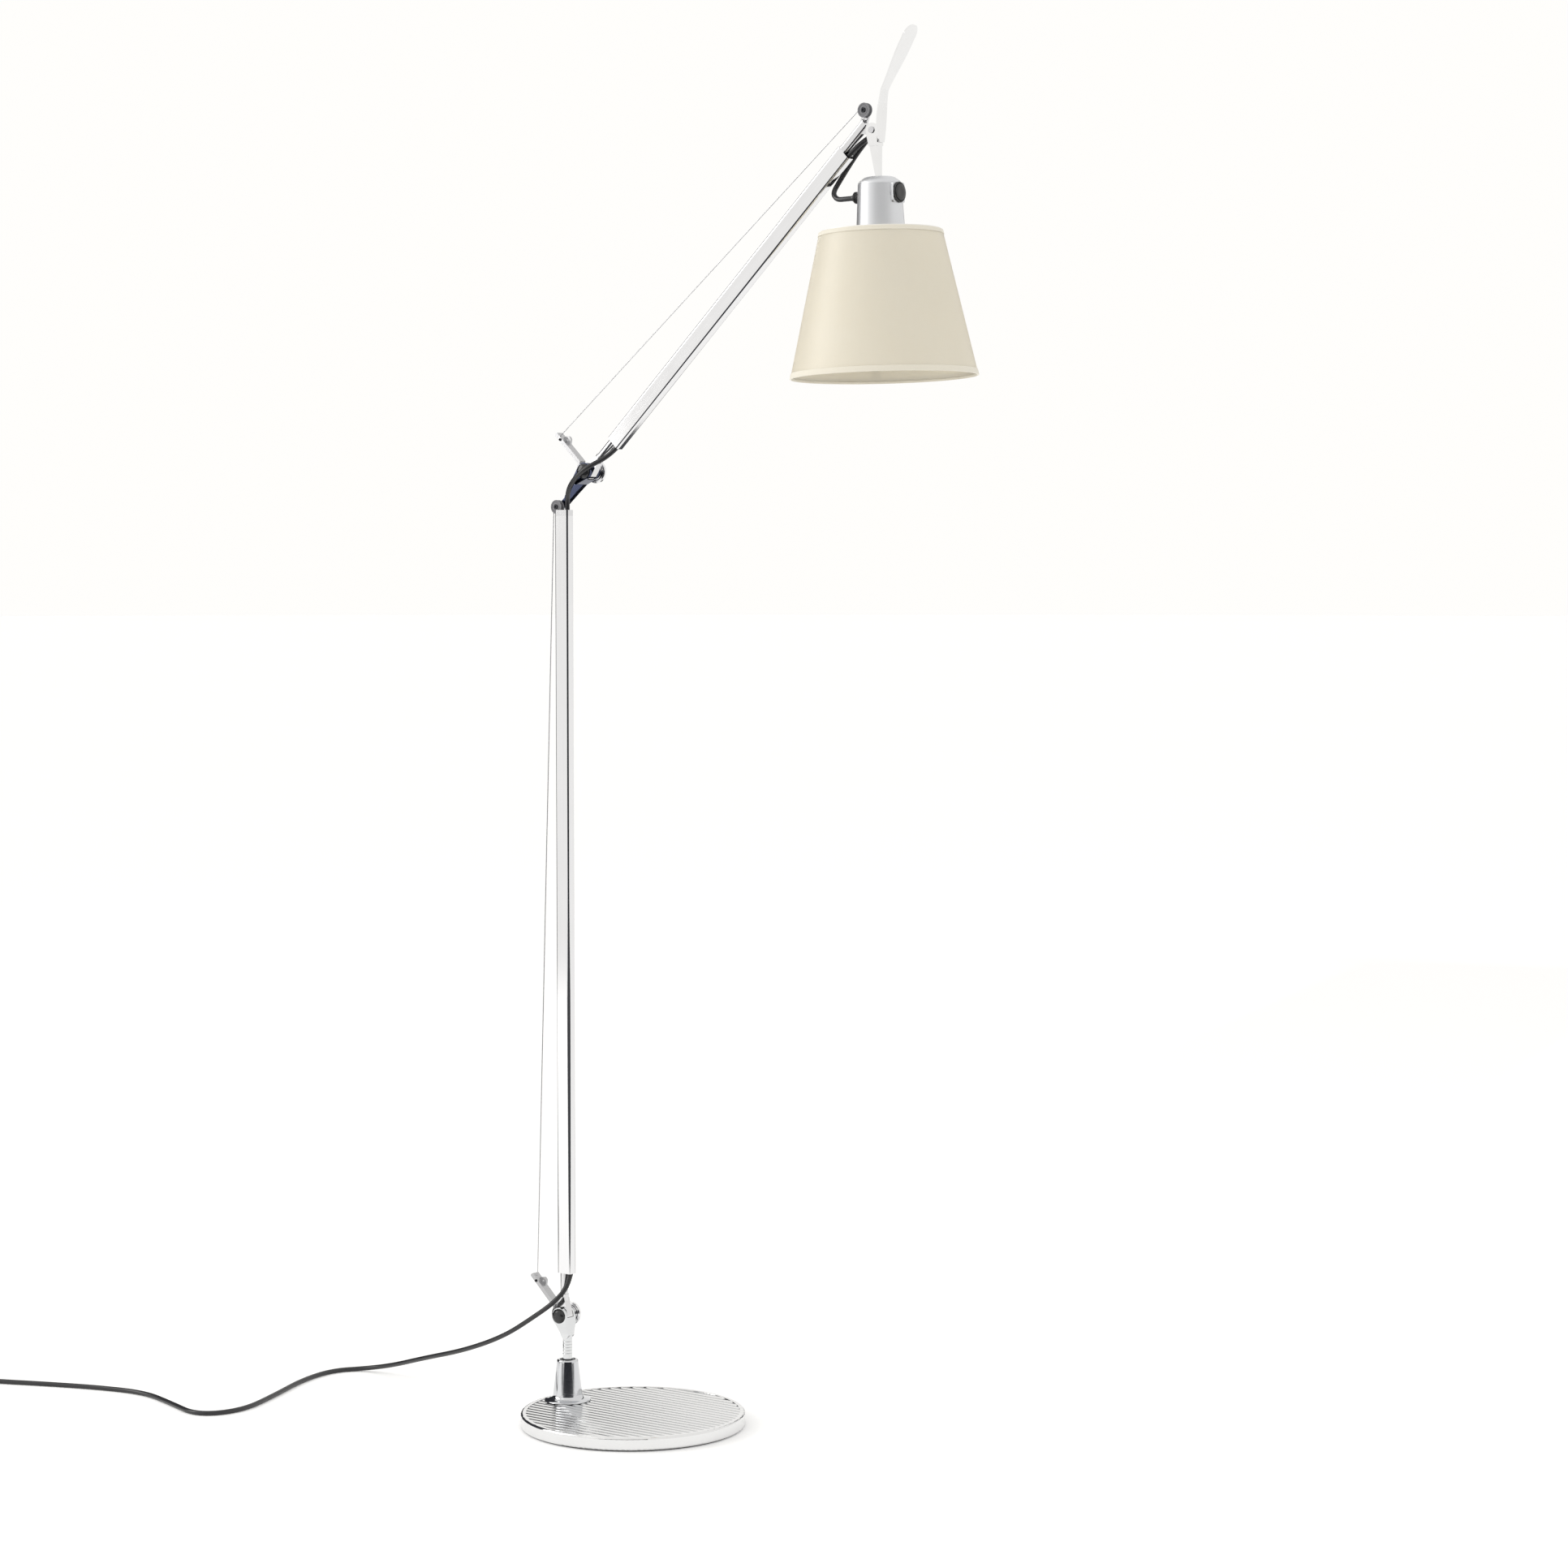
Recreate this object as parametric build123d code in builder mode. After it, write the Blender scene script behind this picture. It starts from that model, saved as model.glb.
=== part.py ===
from build123d import *
from math import asin, atan2, cos, degrees, hypot, pi, radians, sin, tan
import os

os.makedirs("parts", exist_ok=True)

# ---------------------------------------------------------------- driving dimensions, mm
# Origin: centre of the base's underside. +X points forward, the way the arms reach.
# The arms work in the XZ plane. The near side, with the black caps, is -Y.

clear = 0.3  # gap between curved neighbours on different bodies
slack = 0.05  # gap of a running fit, and between flat neighbours

base_radius = 115.0
base_height = 14.5
base_skin = 2.7
base_edge = 2.2
pad_thickness = 1.5
weight_radius = 112.3
rib_pitch = 8.3
rib_depth = 0.45
rib_land = 1.1
rib_field_radius = 109.5
base_screw_circle = 92.0

stem_x = -87.0
stem_radius = 5.0
stem_bottom = 26.1
socket_top = 57.0
socket_flange = 24.0
bush_radius = 8.0
bush_bottom = 24.0
socket_bolt_radius = 4.9

lower_pivot = (-91.6, 102.6)
elbow_pivot = (-54.7, 974.0)
head_pivot = (299.5, 1292.5)
lower_lean = 0.0
upper_lean = 46.43  # the upper arm's angle from upright, towards +X
head_lean = -1.8

hub_radius = 8.2
tongue_half = 4.2
washer = 0.6
cheek_inner = tongue_half + washer + slack
cheek_outer = 8.4
cheek_radius = 8.6
fork_bore = hub_radius + 2 * clear
pivot_bolt_radius = 3.0

tube_across = 17.5
tube_deep = 10.5
tube_corner = 2.6
tube_wall = 1.2
tube_offset = 4.0  # the tube's axis ahead of the line of pivots
tube_start = 44.5  # from the pivot along the arm
tube_web = 1.0
cord_channel = 5.7
lower_tube_length = 782.0
upper_tube_length = 394.5
plug_length = 24.0
lower_spring_length = 430.0
upper_spring_length = 210.0

cord_radius = 2.5
wire_radius = 0.5

lever_length = 56.0
lever_angle = 136.0
lever_half = 4.6
lever_thickness = 4.0
lever_foot_end = 200.0
wire_hold = 52.0  # from the pivot to the wire's hold on the lever
backward_tilt = 15.0  # how far an arm may lean towards its lever
neck_radius = 3.4

pulley_radius = 7.0
pulley_groove = 4.2
pulley_half = 2.5
pulley_screw_radius = 1.55
lower_pulley_at = (-4.8, 835.7)  # across and along the lower arm
upper_pulley_at = (-8.8, 481.6)  # across and along the upper arm
post_half = pulley_half + 0.35

head_lug_half = 2.6
head_cheek_radius = 6.8
head_cheek_outer = 5.2
head_pin_radius = 2.0

cap_axis = 4.5  # the lampholder's axis ahead of the head pivot
cap_top = -44.0
cap_bottom = -95.5
cap_wall = 1.5
switch_level = -61.0
grommet_level = -62.0
shade_top = -97.0
shade_bottom = -234.5
shade_top_radius = 59.0
shade_bottom_radius = 90.0
shade_skin = 1.0

coil_centre = (-709.0, -308.0)
coil_turn_radius = 30.0
coil_bundle = 13.5  # thickness of the coil's strands, taken together
cord_rest = cord_radius  # height of a cord's axis on the floor

# ---------------------------------------------------------------- worked out from them

chamber_across = tube_across - 2 * tube_wall - cord_channel - tube_web
chamber_deep = tube_deep - 2 * tube_wall
chamber_at = tube_offset - tube_across / 2 + tube_wall + chamber_across / 2
channel_at = tube_offset + tube_across / 2 - tube_wall - cord_channel / 2
lower_tube_end = tube_start + lower_tube_length
upper_tube_end = tube_start + upper_tube_length


# ---------------------------------------------------------------- places and helpers


def keep(builder, label):
    """Names a finished sub-part, writes its STEP file and prints its size."""
    builder.part.label = label
    export_step(builder.part, f"parts/{label}.step")
    box = builder.part.bounding_box()
    solids = len(builder.part.solids())
    print(f"{label:20s} solids {solids}  mm3 {builder.part.volume:9.0f}  z {box.min.Z:7.1f} to {box.max.Z:7.1f}")


def in_world(pivot, lean, point):
    """World (x, z) of a point given across and along a leaning link."""
    turn = radians(lean)
    across, along = point
    return pivot[0] + across * cos(turn) + along * sin(turn), pivot[1] - across * sin(turn) + along * cos(turn)


def in_link(pivot, lean, point):
    """Across and along a leaning link, of a world (x, z) point."""
    turn = radians(lean)
    dx, dz = point[0] - pivot[0], point[1] - pivot[1]
    return dx * cos(turn) - dz * sin(turn), dx * sin(turn) + dz * cos(turn)


def polar(radius, angle, centre=(0.0, 0.0)):
    """Point at a radius and an angle in degrees round a centre."""
    return centre[0] + radius * cos(radians(angle)), centre[1] + radius * sin(radians(angle))


def side_plane(pivot, lean, far_y=0.0, at=(0.0, 0.0)):
    """Side view of a link: local x across it, local y along it, extruding towards the near side."""
    turn = radians(lean)
    x, z = in_world(pivot, lean, at)
    return Plane(origin=(x, far_y, z), x_dir=(cos(turn), 0, -sin(turn)), z_dir=(0, -1, 0))


def end_plane(pivot, lean, along, across=0.0):
    """Plane square to a link: local x across it, local y to the far side, extruding along it."""
    turn = radians(lean)
    x, z = in_world(pivot, lean, (across, along))
    return Plane(origin=(x, 0, z), x_dir=(cos(turn), 0, -sin(turn)), z_dir=(sin(turn), 0, cos(turn)))


def reach_plane(pivot, lean, at):
    """Plane whose local y points across a link, for pieces turned about that line."""
    turn = radians(lean)
    x, z = in_world(pivot, lean, at)
    return Plane(origin=(x, 0, z), x_dir=(sin(turn), 0, cos(turn)), z_dir=(0, 1, 0))


def turned(plane, outline, rounded=()):
    """Sub-part revolved about a plane's local y axis from (radius, height) points; rounded is (point, radius) pairs."""
    with BuildPart() as piece:
        with BuildSketch(plane) as profile:
            with BuildLine():
                Polyline(*outline, close=True)
            make_face()
            for corner, radius in rounded:
                fillet(profile.vertices().sort_by_distance(corner)[0], radius)
        revolve(axis=Axis(plane.origin, plane.y_dir))
    return piece


def ring_sector(inner, outer, start, end):
    """Face of a ring between two angles in degrees, in the current sketch."""
    with BuildLine() as outline:
        rim = CenterArc((0, 0), outer, start, end - start)
        bore = CenterArc((0, 0), inner, start, end - start)
        Line(rim @ 0, bore @ 0)
        Line(rim @ 1, bore @ 1)
    make_face(outline.edges())


def rounded_route(points):
    """Straight runs joined by tangent arcs: the arc radii, each from the shorter of its two runs."""
    corners = [Vector(*p) for p in points]
    radii = []
    for before, here, after in zip(corners, corners[1:], corners[2:]):
        half_turn = radians((here - before).get_angle(after - here)) / 2
        shorter = min((here - before).length, (after - here).length)
        radii.append(0.45 * shorter / tan(half_turn))
    return radii


def laid_cord(*routes, radius=cord_radius, name="cord"):
    """One solid per route, a round cord along straight runs joined by arcs."""
    with BuildPart() as cord:
        for points in routes:
            radii = rounded_route(points)
            with BuildLine() as route:
                FilletPolyline(*points, radius=radii)
            path = route.wire()
            with BuildSketch(Plane(origin=path @ 0, z_dir=path % 0)):
                Circle(radius)
            sweep(path=path)
            tube = pi * radius**2 * path.length
            print(f"{name}: length {path.length:.0f}, tightest arc {min(radii):.1f}, section x length {tube:.0f}")
    return cord


# ---------------------------------------------------------------- base

with BuildPart() as base_pad:
    with BuildSketch():
        Circle(weight_radius - 1.5)
        with Locations((stem_x, 0)):
            Circle(12, mode=Mode.SUBTRACT)
    extrude(amount=pad_thickness)
keep(base_pad, "base_pad")

with BuildPart() as base_weight:
    with BuildSketch(Plane.XY.offset(pad_thickness)):
        Circle(weight_radius)
    extrude(amount=base_height - base_skin - pad_thickness)
    with Locations(Pos(stem_x, 0, pad_thickness) * Rot(180, 0, 0)):
        CounterBoreHole(socket_bolt_radius + 4 * slack, 9.2, 6.8)
    with PolarLocations(base_screw_circle, 3, start_angle=0):
        with Locations(Pos(0, 0, pad_thickness) * Rot(180, 0, 0)):
            CounterSinkHole(2.6, 5.2)
keep(base_weight, "base_weight")

groove_width = rib_pitch - rib_land
groove_radius = ((groove_width / 2) ** 2 + rib_depth**2) / (2 * rib_depth)
groove_count = 2 * int(rib_field_radius / rib_pitch) + 1
with BuildPart() as grooves:
    with GridLocations(1, rib_pitch, 1, groove_count):
        with Locations((0, 0, base_height - rib_depth + groove_radius)):
            Cylinder(groove_radius, 2 * base_radius, rotation=(0, 90, 0))
    with Locations((0, 0, base_height)):
        Cylinder(rib_field_radius, 4 * groove_radius, mode=Mode.INTERSECT)

with BuildPart() as base_cover:
    with BuildSketch(Plane.XZ) as cover_profile:
        with BuildLine():
            Polyline(
                (0, base_height),
                (base_radius, base_height),
                (base_radius, pad_thickness),
                (weight_radius + clear, pad_thickness),
                (weight_radius + clear, base_height - base_skin),
                (0, base_height - base_skin),
                close=True,
            )
        make_face()
        fillet(cover_profile.vertices().sort_by_distance((base_radius, base_height))[0], base_edge)
        fillet(cover_profile.vertices().sort_by_distance((base_radius, pad_thickness))[0], 1.6)
    revolve(axis=Axis.Z)
    with Locations((stem_x, 0, base_height)):
        Hole(socket_bolt_radius + 4 * slack)
    with PolarLocations(base_screw_circle, 3, start_angle=0):
        with Locations((0, 0, base_height - base_skin)):
            Cylinder(2.1, 1.5, align=(Align.CENTER, Align.CENTER, Align.MIN), mode=Mode.SUBTRACT)
    add(grooves.part, mode=Mode.SUBTRACT)
keep(base_cover, "base_cover")

with BuildPart() as base_screws:
    with PolarLocations(base_screw_circle, 3, start_angle=0):
        with Locations((0, 0, pad_thickness + 0.1)):
            Cone(5.0, 2.0, 3.0, align=(Align.CENTER, Align.CENTER, Align.MIN))
            Cylinder(2.0, 11.6, align=(Align.CENTER, Align.CENTER, Align.MIN))
            Cylinder(1.3, 1.2, align=(Align.CENTER, Align.CENTER, Align.MIN), mode=Mode.SUBTRACT)
keep(base_screws, "base_screws")

socket_axis = Plane(origin=(stem_x, 0, 0), x_dir=(1, 0, 0), z_dir=(0, -1, 0))
socket_cone = turned(
    socket_axis,
    [
        (socket_bolt_radius + slack, base_height),
        (socket_flange, base_height),
        (socket_flange, 15.4),
        (18.5, 16.4),
        (15.4, 18.4),
        (11.0, socket_top),
        (bush_radius + slack, socket_top),
        (bush_radius + slack, bush_bottom),
        (socket_bolt_radius + slack, bush_bottom),
    ],
    rounded=[((18.5, 16.4), 3.0), ((11.0, socket_top), 0.8)],
)
grub_level = 51.5
grub_turn = -120.0
with socket_cone:
    with Locations(Pos(stem_x, 0, grub_level) * Rot(0, 0, grub_turn) * Rot(0, 90, 0)):
        Cylinder(1.6, 14, align=(Align.CENTER, Align.CENTER, Align.MIN), mode=Mode.SUBTRACT)
keep(socket_cone, "socket_cone")

socket_bush = turned(
    socket_axis,
    [
        (0, bush_bottom),
        (bush_radius, bush_bottom),
        (bush_radius, socket_top - 1.6),
        (stem_radius + slack, socket_top - 1.6),
        (stem_radius + slack, stem_bottom - 2 * slack),
        (0, stem_bottom - 2 * slack),
    ],
)
keep(socket_bush, "socket_bush")

with BuildPart() as socket_bolt:
    with BuildSketch(Plane(origin=(stem_x, 0, pad_thickness + 0.4))):
        RegularPolygon(8.4, 6)
    extrude(amount=6.2)
    with BuildSketch(Plane(origin=(stem_x, 0, pad_thickness + 0.4))):
        Circle(socket_bolt_radius)
    extrude(amount=bush_bottom - pad_thickness - 0.8)
keep(socket_bolt, "socket_bolt")

with BuildPart() as socket_grub_screw:
    with Locations(Pos(stem_x, 0, grub_level) * Rot(0, 0, grub_turn) * Rot(0, 90, 0) * Pos(0, 0, bush_radius + 0.2)):
        Cylinder(1.5, 2.9, align=(Align.CENTER, Align.CENTER, Align.MIN))
keep(socket_grub_screw, "socket_grub_screw")

# ---------------------------------------------------------------- pieces that both arms share


def make_lever(pivot):
    """Bar that leans back from a fork, with a foot round the fork and a lug on its front."""
    front = (sin(radians(lever_angle)), -cos(radians(lever_angle)))
    lug_at = polar(43.0, lever_angle)
    with BuildPart() as lever:
        with BuildSketch(side_plane(pivot, 0)):
            with Locations(polar((fork_bore + 0.6 + lever_length) / 2, lever_angle)):
                Rectangle(lever_length - fork_bore - 0.6, lever_thickness, rotation=lever_angle)
            ring_sector(fork_bore, fork_bore + lever_thickness, lever_angle, lever_foot_end)
        extrude(amount=lever_half, both=True)
        with BuildSketch(side_plane(pivot, 0)):
            Circle(hub_radius + clear)
            with Locations(polar(17, 90 + backward_tilt)):
                Circle(neck_radius + clear)
            make_hull()
        extrude(amount=2 * lever_half, both=True, mode=Mode.SUBTRACT)
        tip = lever.edges().filter_by(Axis.Y).sort_by_distance((
            pivot[0] + polar(lever_length, lever_angle)[0], 0, pivot[1] + polar(lever_length, lever_angle)[1]
        ))[:2]
        fillet(tip, 1.2)
        with BuildSketch(side_plane(pivot, 0, far_y=3.6)):
            with Locations((lug_at[0] + 3.4 * front[0], lug_at[1] + 3.4 * front[1])):
                Circle(3.9)
            with Locations(lug_at):
                Rectangle(11, lever_thickness, rotation=lever_angle)
            make_hull()
        extrude(amount=2.8)
        with BuildSketch(side_plane(pivot, 0, far_y=3.6)):
            with Locations((lug_at[0] + 3.4 * front[0], lug_at[1] + 3.4 * front[1])):
                Circle(1.3)
        extrude(amount=2.8, mode=Mode.SUBTRACT)
        with BuildSketch(side_plane(pivot, 0, far_y=-1.4)):
            with Locations(polar(47.0, lever_angle)):
                Circle(1.45)
        extrude(amount=lever_half, mode=Mode.SUBTRACT)
    return lever


def make_set_screw(pivot):
    """Grub screw in the near side of a lever, with a hexagon socket."""
    with BuildPart() as screw:
        with BuildSketch(side_plane(pivot, 0, far_y=-1.5)):
            with Locations(polar(47.0, lever_angle)):
                Circle(1.4)
        extrude(amount=lever_half - 1.5 + 0.7)
        with BuildSketch(side_plane(pivot, 0, far_y=-lever_half + 0.6)):
            with Locations(polar(47.0, lever_angle)):
                RegularPolygon(0.8, 6)
        extrude(amount=3, mode=Mode.SUBTRACT)
    return screw


def make_foot(pivot, lean):
    """Insert in an arm's lower end: a plug in the spring chamber, a round neck and a flared tongue."""
    with BuildPart() as foot:
        with BuildSketch(side_plane(pivot, lean)):
            Circle(hub_radius)
            with Locations((chamber_at, 17)):
                Circle(neck_radius)
            make_hull()
        extrude(amount=tongue_half, both=True)
        with BuildSketch(end_plane(pivot, lean, 15.5, chamber_at)):
            Circle(4.0)
        extrude(amount=tube_start - 15.5)
        with BuildSketch(end_plane(pivot, lean, 19.5, chamber_at)):
            Circle(4.8)
        extrude(amount=3)
        with BuildSketch(end_plane(pivot, lean, tube_start, chamber_at)):
            Rectangle(chamber_across - 0.2, chamber_deep - 0.2)
        extrude(amount=plug_length)
        with BuildSketch(side_plane(pivot, lean)):
            Circle(pivot_bolt_radius + slack)
        extrude(amount=2 * tongue_half, both=True, mode=Mode.SUBTRACT)
    return foot


def make_tube(pivot, lean, length):
    """Extruded arm tube with a spring chamber behind and a cord channel in front."""
    with BuildPart() as tube:
        with BuildSketch(end_plane(pivot, lean, tube_start)):
            with Locations((tube_offset, 0)):
                RectangleRounded(tube_across, tube_deep, tube_corner)
            with Locations((chamber_at, 0)):
                Rectangle(chamber_across, chamber_deep, mode=Mode.SUBTRACT)
            with Locations((channel_at, 0)):
                RectangleRounded(cord_channel, chamber_deep, 1.4, mode=Mode.SUBTRACT)
        extrude(amount=length)
    return tube


def make_spring(pivot, lean, length):
    """Balance spring as its outer sleeve, closed at the end that holds the wire."""
    with BuildPart() as spring:
        with BuildSketch(end_plane(pivot, lean, tube_start + plug_length, chamber_at)):
            Circle(3.7)
            Circle(2.4, mode=Mode.SUBTRACT)
        extrude(amount=length)
        with BuildSketch(end_plane(pivot, lean, tube_start + plug_length + length - 2, chamber_at)):
            Circle(3.7)
        extrude(amount=2)
    return spring


def make_wire(pivot, lean, pulley_at, spring_end):
    """Balance wire from the lever, over the pulley and down to the spring."""
    front = (sin(radians(lever_angle)), -cos(radians(lever_angle)))
    hold = polar(wire_hold, lever_angle)
    hold = (hold[0] + (lever_thickness / 2 + 0.6) * front[0], hold[1] + (lever_thickness / 2 + 0.6) * front[1])
    hold = in_link((0, 0), lean, hold)
    anchor = (chamber_at, spring_end + slack)
    bend = pulley_groove + wire_radius + slack
    touches = []
    for start, side in ((hold, 1), (anchor, -1)):
        dx, dz = pulley_at[0] - start[0], pulley_at[1] - start[1]
        reach = hypot(dx, dz)
        heading = degrees(atan2(dz, dx)) + side * degrees(asin(bend / reach))
        touches.append(polar(bend, heading + side * 90, pulley_at))
    crest = polar(bend, sum(degrees(atan2(t[1] - pulley_at[1], t[0] - pulley_at[0])) for t in touches) / 2, pulley_at)
    with BuildPart() as wire:
        with BuildLine(side_plane(pivot, lean)) as route:
            Line(hold, touches[0])
            ThreePointArc(touches[0], crest, touches[1])
            Line(touches[1], anchor)
        path = route.wire()
        with BuildSketch(Plane(origin=path @ 0, z_dir=path % 0)):
            Circle(wire_radius)
        sweep(path=path)
    print(f"wire: length {path.length:.0f}, section x length {pi * wire_radius**2 * path.length:.0f}")
    return wire


def make_pulley(pivot, lean, at):
    """Small grooved wheel with a stepped face."""
    return turned(
        side_turning(pivot, lean, at),
        [
            (pulley_screw_radius + slack, -pulley_half + 0.5),
            (3.4, -pulley_half + 0.5),
            (3.4, -pulley_half + 0.2),
            (6.2, -pulley_half + 0.2),
            (6.2, -pulley_half),
            (pulley_radius, -pulley_half),
            (pulley_radius, -1.5),
            (pulley_groove, -0.55),
            (pulley_groove, 0.55),
            (pulley_radius, 1.5),
            (pulley_radius, pulley_half),
            (pulley_screw_radius + slack, pulley_half),
        ],
    )


def side_turning(pivot, lean=0.0, at=(0.0, 0.0)):
    """Plane for a piece turned about an axis along +Y, through a point of a link."""
    turn = radians(lean)
    x, z = in_world(pivot, lean, at)
    return Plane(origin=(x, 0, z), x_dir=(cos(turn), 0, -sin(turn)), z_dir=(sin(turn), 0, cos(turn)))


def make_pulley_screw(pivot, lean, at, far_y):
    """Shoulder screw that carries a pulley, with a socket in its near end."""
    return turned(
        side_turning(pivot, lean, at),
        [
            (0, -pulley_half + 0.1),
            (1.0, -pulley_half + 0.1),
            (1.0, -pulley_half - 0.7),
            (2.3, -pulley_half - 0.7),
            (2.3, -pulley_half + 0.4),
            (pulley_screw_radius, -pulley_half + 0.4),
            (pulley_screw_radius, far_y),
            (0, far_y),
        ],
    )


def make_pivot_bolt(pivot):
    """Bolt through a fork, headed under the cap."""
    return turned(
        side_turning(pivot),
        [
            (0, -cheek_outer - 2.2),
            (4.9, -cheek_outer - 2.2),
            (4.9, -cheek_outer - slack),
            (pivot_bolt_radius, -cheek_outer - slack),
            (pivot_bolt_radius, 13.6),
            (0, 13.6),
        ],
    )


def make_pivot_cap(pivot):
    """Domed cap over the bolt's head."""
    return turned(
        side_turning(pivot),
        [
            (0, -cheek_outer - 4.0),
            (7.7, -cheek_outer - 4.0),
            (7.7, -cheek_outer - slack),
            (5.1, -cheek_outer - slack),
            (5.1, -cheek_outer - 2.4),
            (0, -cheek_outer - 2.4),
        ],
        rounded=[((7.7, -cheek_outer - 4.0), 2.6)],
    )


def make_washers(pivot):
    """Pair of friction washers, one each side of the tongue."""
    with BuildPart() as washers:
        for low in (tongue_half + slack / 2, -tongue_half - slack / 2 - washer):
            with BuildSketch(Plane(origin=(pivot[0], low, pivot[1]), z_dir=(0, 1, 0))):
                Circle(hub_radius - 0.6)
                Circle(pivot_bolt_radius + slack, mode=Mode.SUBTRACT)
            extrude(amount=washer)
    return washers


def make_knob(pivot):
    """Stepped friction knob on the bolt's far end."""
    seat = cheek_outer + slack
    return turned(
        side_turning(pivot),
        [
            (pivot_bolt_radius + slack, seat),
            (6.6, seat),
            (6.6, seat + 0.8),
            (8.4, seat + 0.8),
            (8.4, seat + 1.5),
            (10.2, seat + 1.5),
            (10.2, seat + 2.1),
            (12.0, seat + 2.4),
            (12.0, seat + 5.2),
            (10.4, seat + 6.4),
            (pivot_bolt_radius + slack, seat + 6.4),
        ],
        rounded=[((12.0, seat + 5.2), 0.8)],
    )


# ---------------------------------------------------------------- stem

with BuildPart() as stem_fork:
    with BuildSketch(side_plane(lower_pivot, 0)):
        Circle(cheek_radius)
        with Locations((stem_x - lower_pivot[0], -19)):
            Circle(stem_radius)
        make_hull()
    extrude(amount=cheek_outer, both=True)
    with BuildSketch(side_plane(lower_pivot, 0)):
        ring_sector(fork_bore, fork_bore + lever_thickness, lever_foot_end, 238)
    extrude(amount=lever_half, both=True)
    with BuildSketch(Plane.YZ.offset(stem_x)):
        with BuildLine():
            Polyline(
                (-cheek_outer, lower_pivot[1] + 15),
                (-cheek_outer, lower_pivot[1] - 7),
                (-stem_radius, lower_pivot[1] - 18),
                (-stem_radius, lower_pivot[1] - 30),
                (stem_radius, lower_pivot[1] - 30),
                (stem_radius, lower_pivot[1] - 18),
                (cheek_outer, lower_pivot[1] - 7),
                (cheek_outer, lower_pivot[1] + 15),
                close=True,
            )
        make_face()
    extrude(amount=40, both=True, mode=Mode.INTERSECT)
    with BuildSketch(Plane(origin=(stem_x, 0, stem_bottom))):
        Circle(stem_radius)
    extrude(amount=lower_pivot[1] - 17 - stem_bottom)
    for ring in range(5):
        with Locations((stem_x, 0, 63.5 + 3.1 * ring)):
            Torus(stem_radius + 0.25, 0.5, mode=Mode.SUBTRACT)
    with BuildSketch(side_plane(lower_pivot, 0)):
        Circle(fork_bore)
    extrude(amount=cheek_inner, both=True, mode=Mode.SUBTRACT)
    with BuildSketch(side_plane(lower_pivot, 0)):
        Circle(pivot_bolt_radius + slack)
    extrude(amount=20, both=True, mode=Mode.SUBTRACT)
keep(stem_fork, "stem_fork")

keep(make_lever(lower_pivot), "lower_lever")
keep(make_set_screw(lower_pivot), "lower_set_screw")
keep(make_pivot_bolt(lower_pivot), "lower_pivot_bolt")
keep(make_pivot_cap(lower_pivot), "lower_pivot_cap")
keep(make_washers(lower_pivot), "lower_washers")
keep(make_knob(lower_pivot), "lower_knob")

# ---------------------------------------------------------------- lower arm

keep(make_tube(lower_pivot, lower_lean, lower_tube_length), "lower_tube")
keep(make_foot(lower_pivot, lower_lean), "lower_foot")
keep(make_spring(lower_pivot, lower_lean, lower_spring_length), "lower_spring")
lower_spring_end = tube_start + plug_length + lower_spring_length
keep(make_wire(lower_pivot, lower_lean, lower_pulley_at, lower_spring_end), "lower_wire")
keep(make_pulley(lower_pivot, lower_lean, lower_pulley_at), "lower_pulley")
keep(make_pulley_screw(lower_pivot, lower_lean, lower_pulley_at, 8.8), "lower_pulley_screw")

post_far = 5.2
head_height = 6.0
with BuildPart() as lower_head:
    with BuildSketch(end_plane(lower_pivot, lower_lean, lower_tube_end - plug_length, chamber_at)):
        Rectangle(chamber_across - 0.2, chamber_deep - 0.2)
    extrude(amount=plug_length)
    with BuildSketch(end_plane(lower_pivot, lower_lean, lower_tube_end)):
        with Locations((tube_offset, 0)):
            RectangleRounded(tube_across, tube_deep, tube_corner)
    extrude(amount=head_height)
    with BuildSketch(side_plane(lower_pivot, lower_lean, far_y=post_far)):
        with Locations(lower_pulley_at):
            Circle(4.6)
        with Locations((0.5, lower_tube_end + 3)):
            Circle(3)
        make_hull()
    extrude(amount=post_far - post_half)
    with BuildSketch(end_plane(lower_pivot, lower_lean, lower_tube_end - plug_length, channel_at)):
        Circle(cord_radius + 2 * clear)
    extrude(amount=plug_length + head_height, mode=Mode.SUBTRACT)
    with BuildSketch(side_plane(lower_pivot, lower_lean)):
        with Locations(lower_pulley_at):
            Circle(pulley_radius + clear)
    extrude(amount=post_half, both=True, mode=Mode.SUBTRACT)
    with BuildSketch(end_plane(lower_pivot, lower_lean, lower_tube_end - plug_length, chamber_at - 1.0)):
        Rectangle(4.4, 1.8)
    extrude(amount=plug_length + head_height, mode=Mode.SUBTRACT)
    with BuildSketch(side_plane(lower_pivot, lower_lean)):
        with Locations(lower_pulley_at):
            Circle(pulley_screw_radius + slack)
    extrude(amount=20, both=True, mode=Mode.SUBTRACT)
keep(lower_head, "lower_head")

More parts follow.
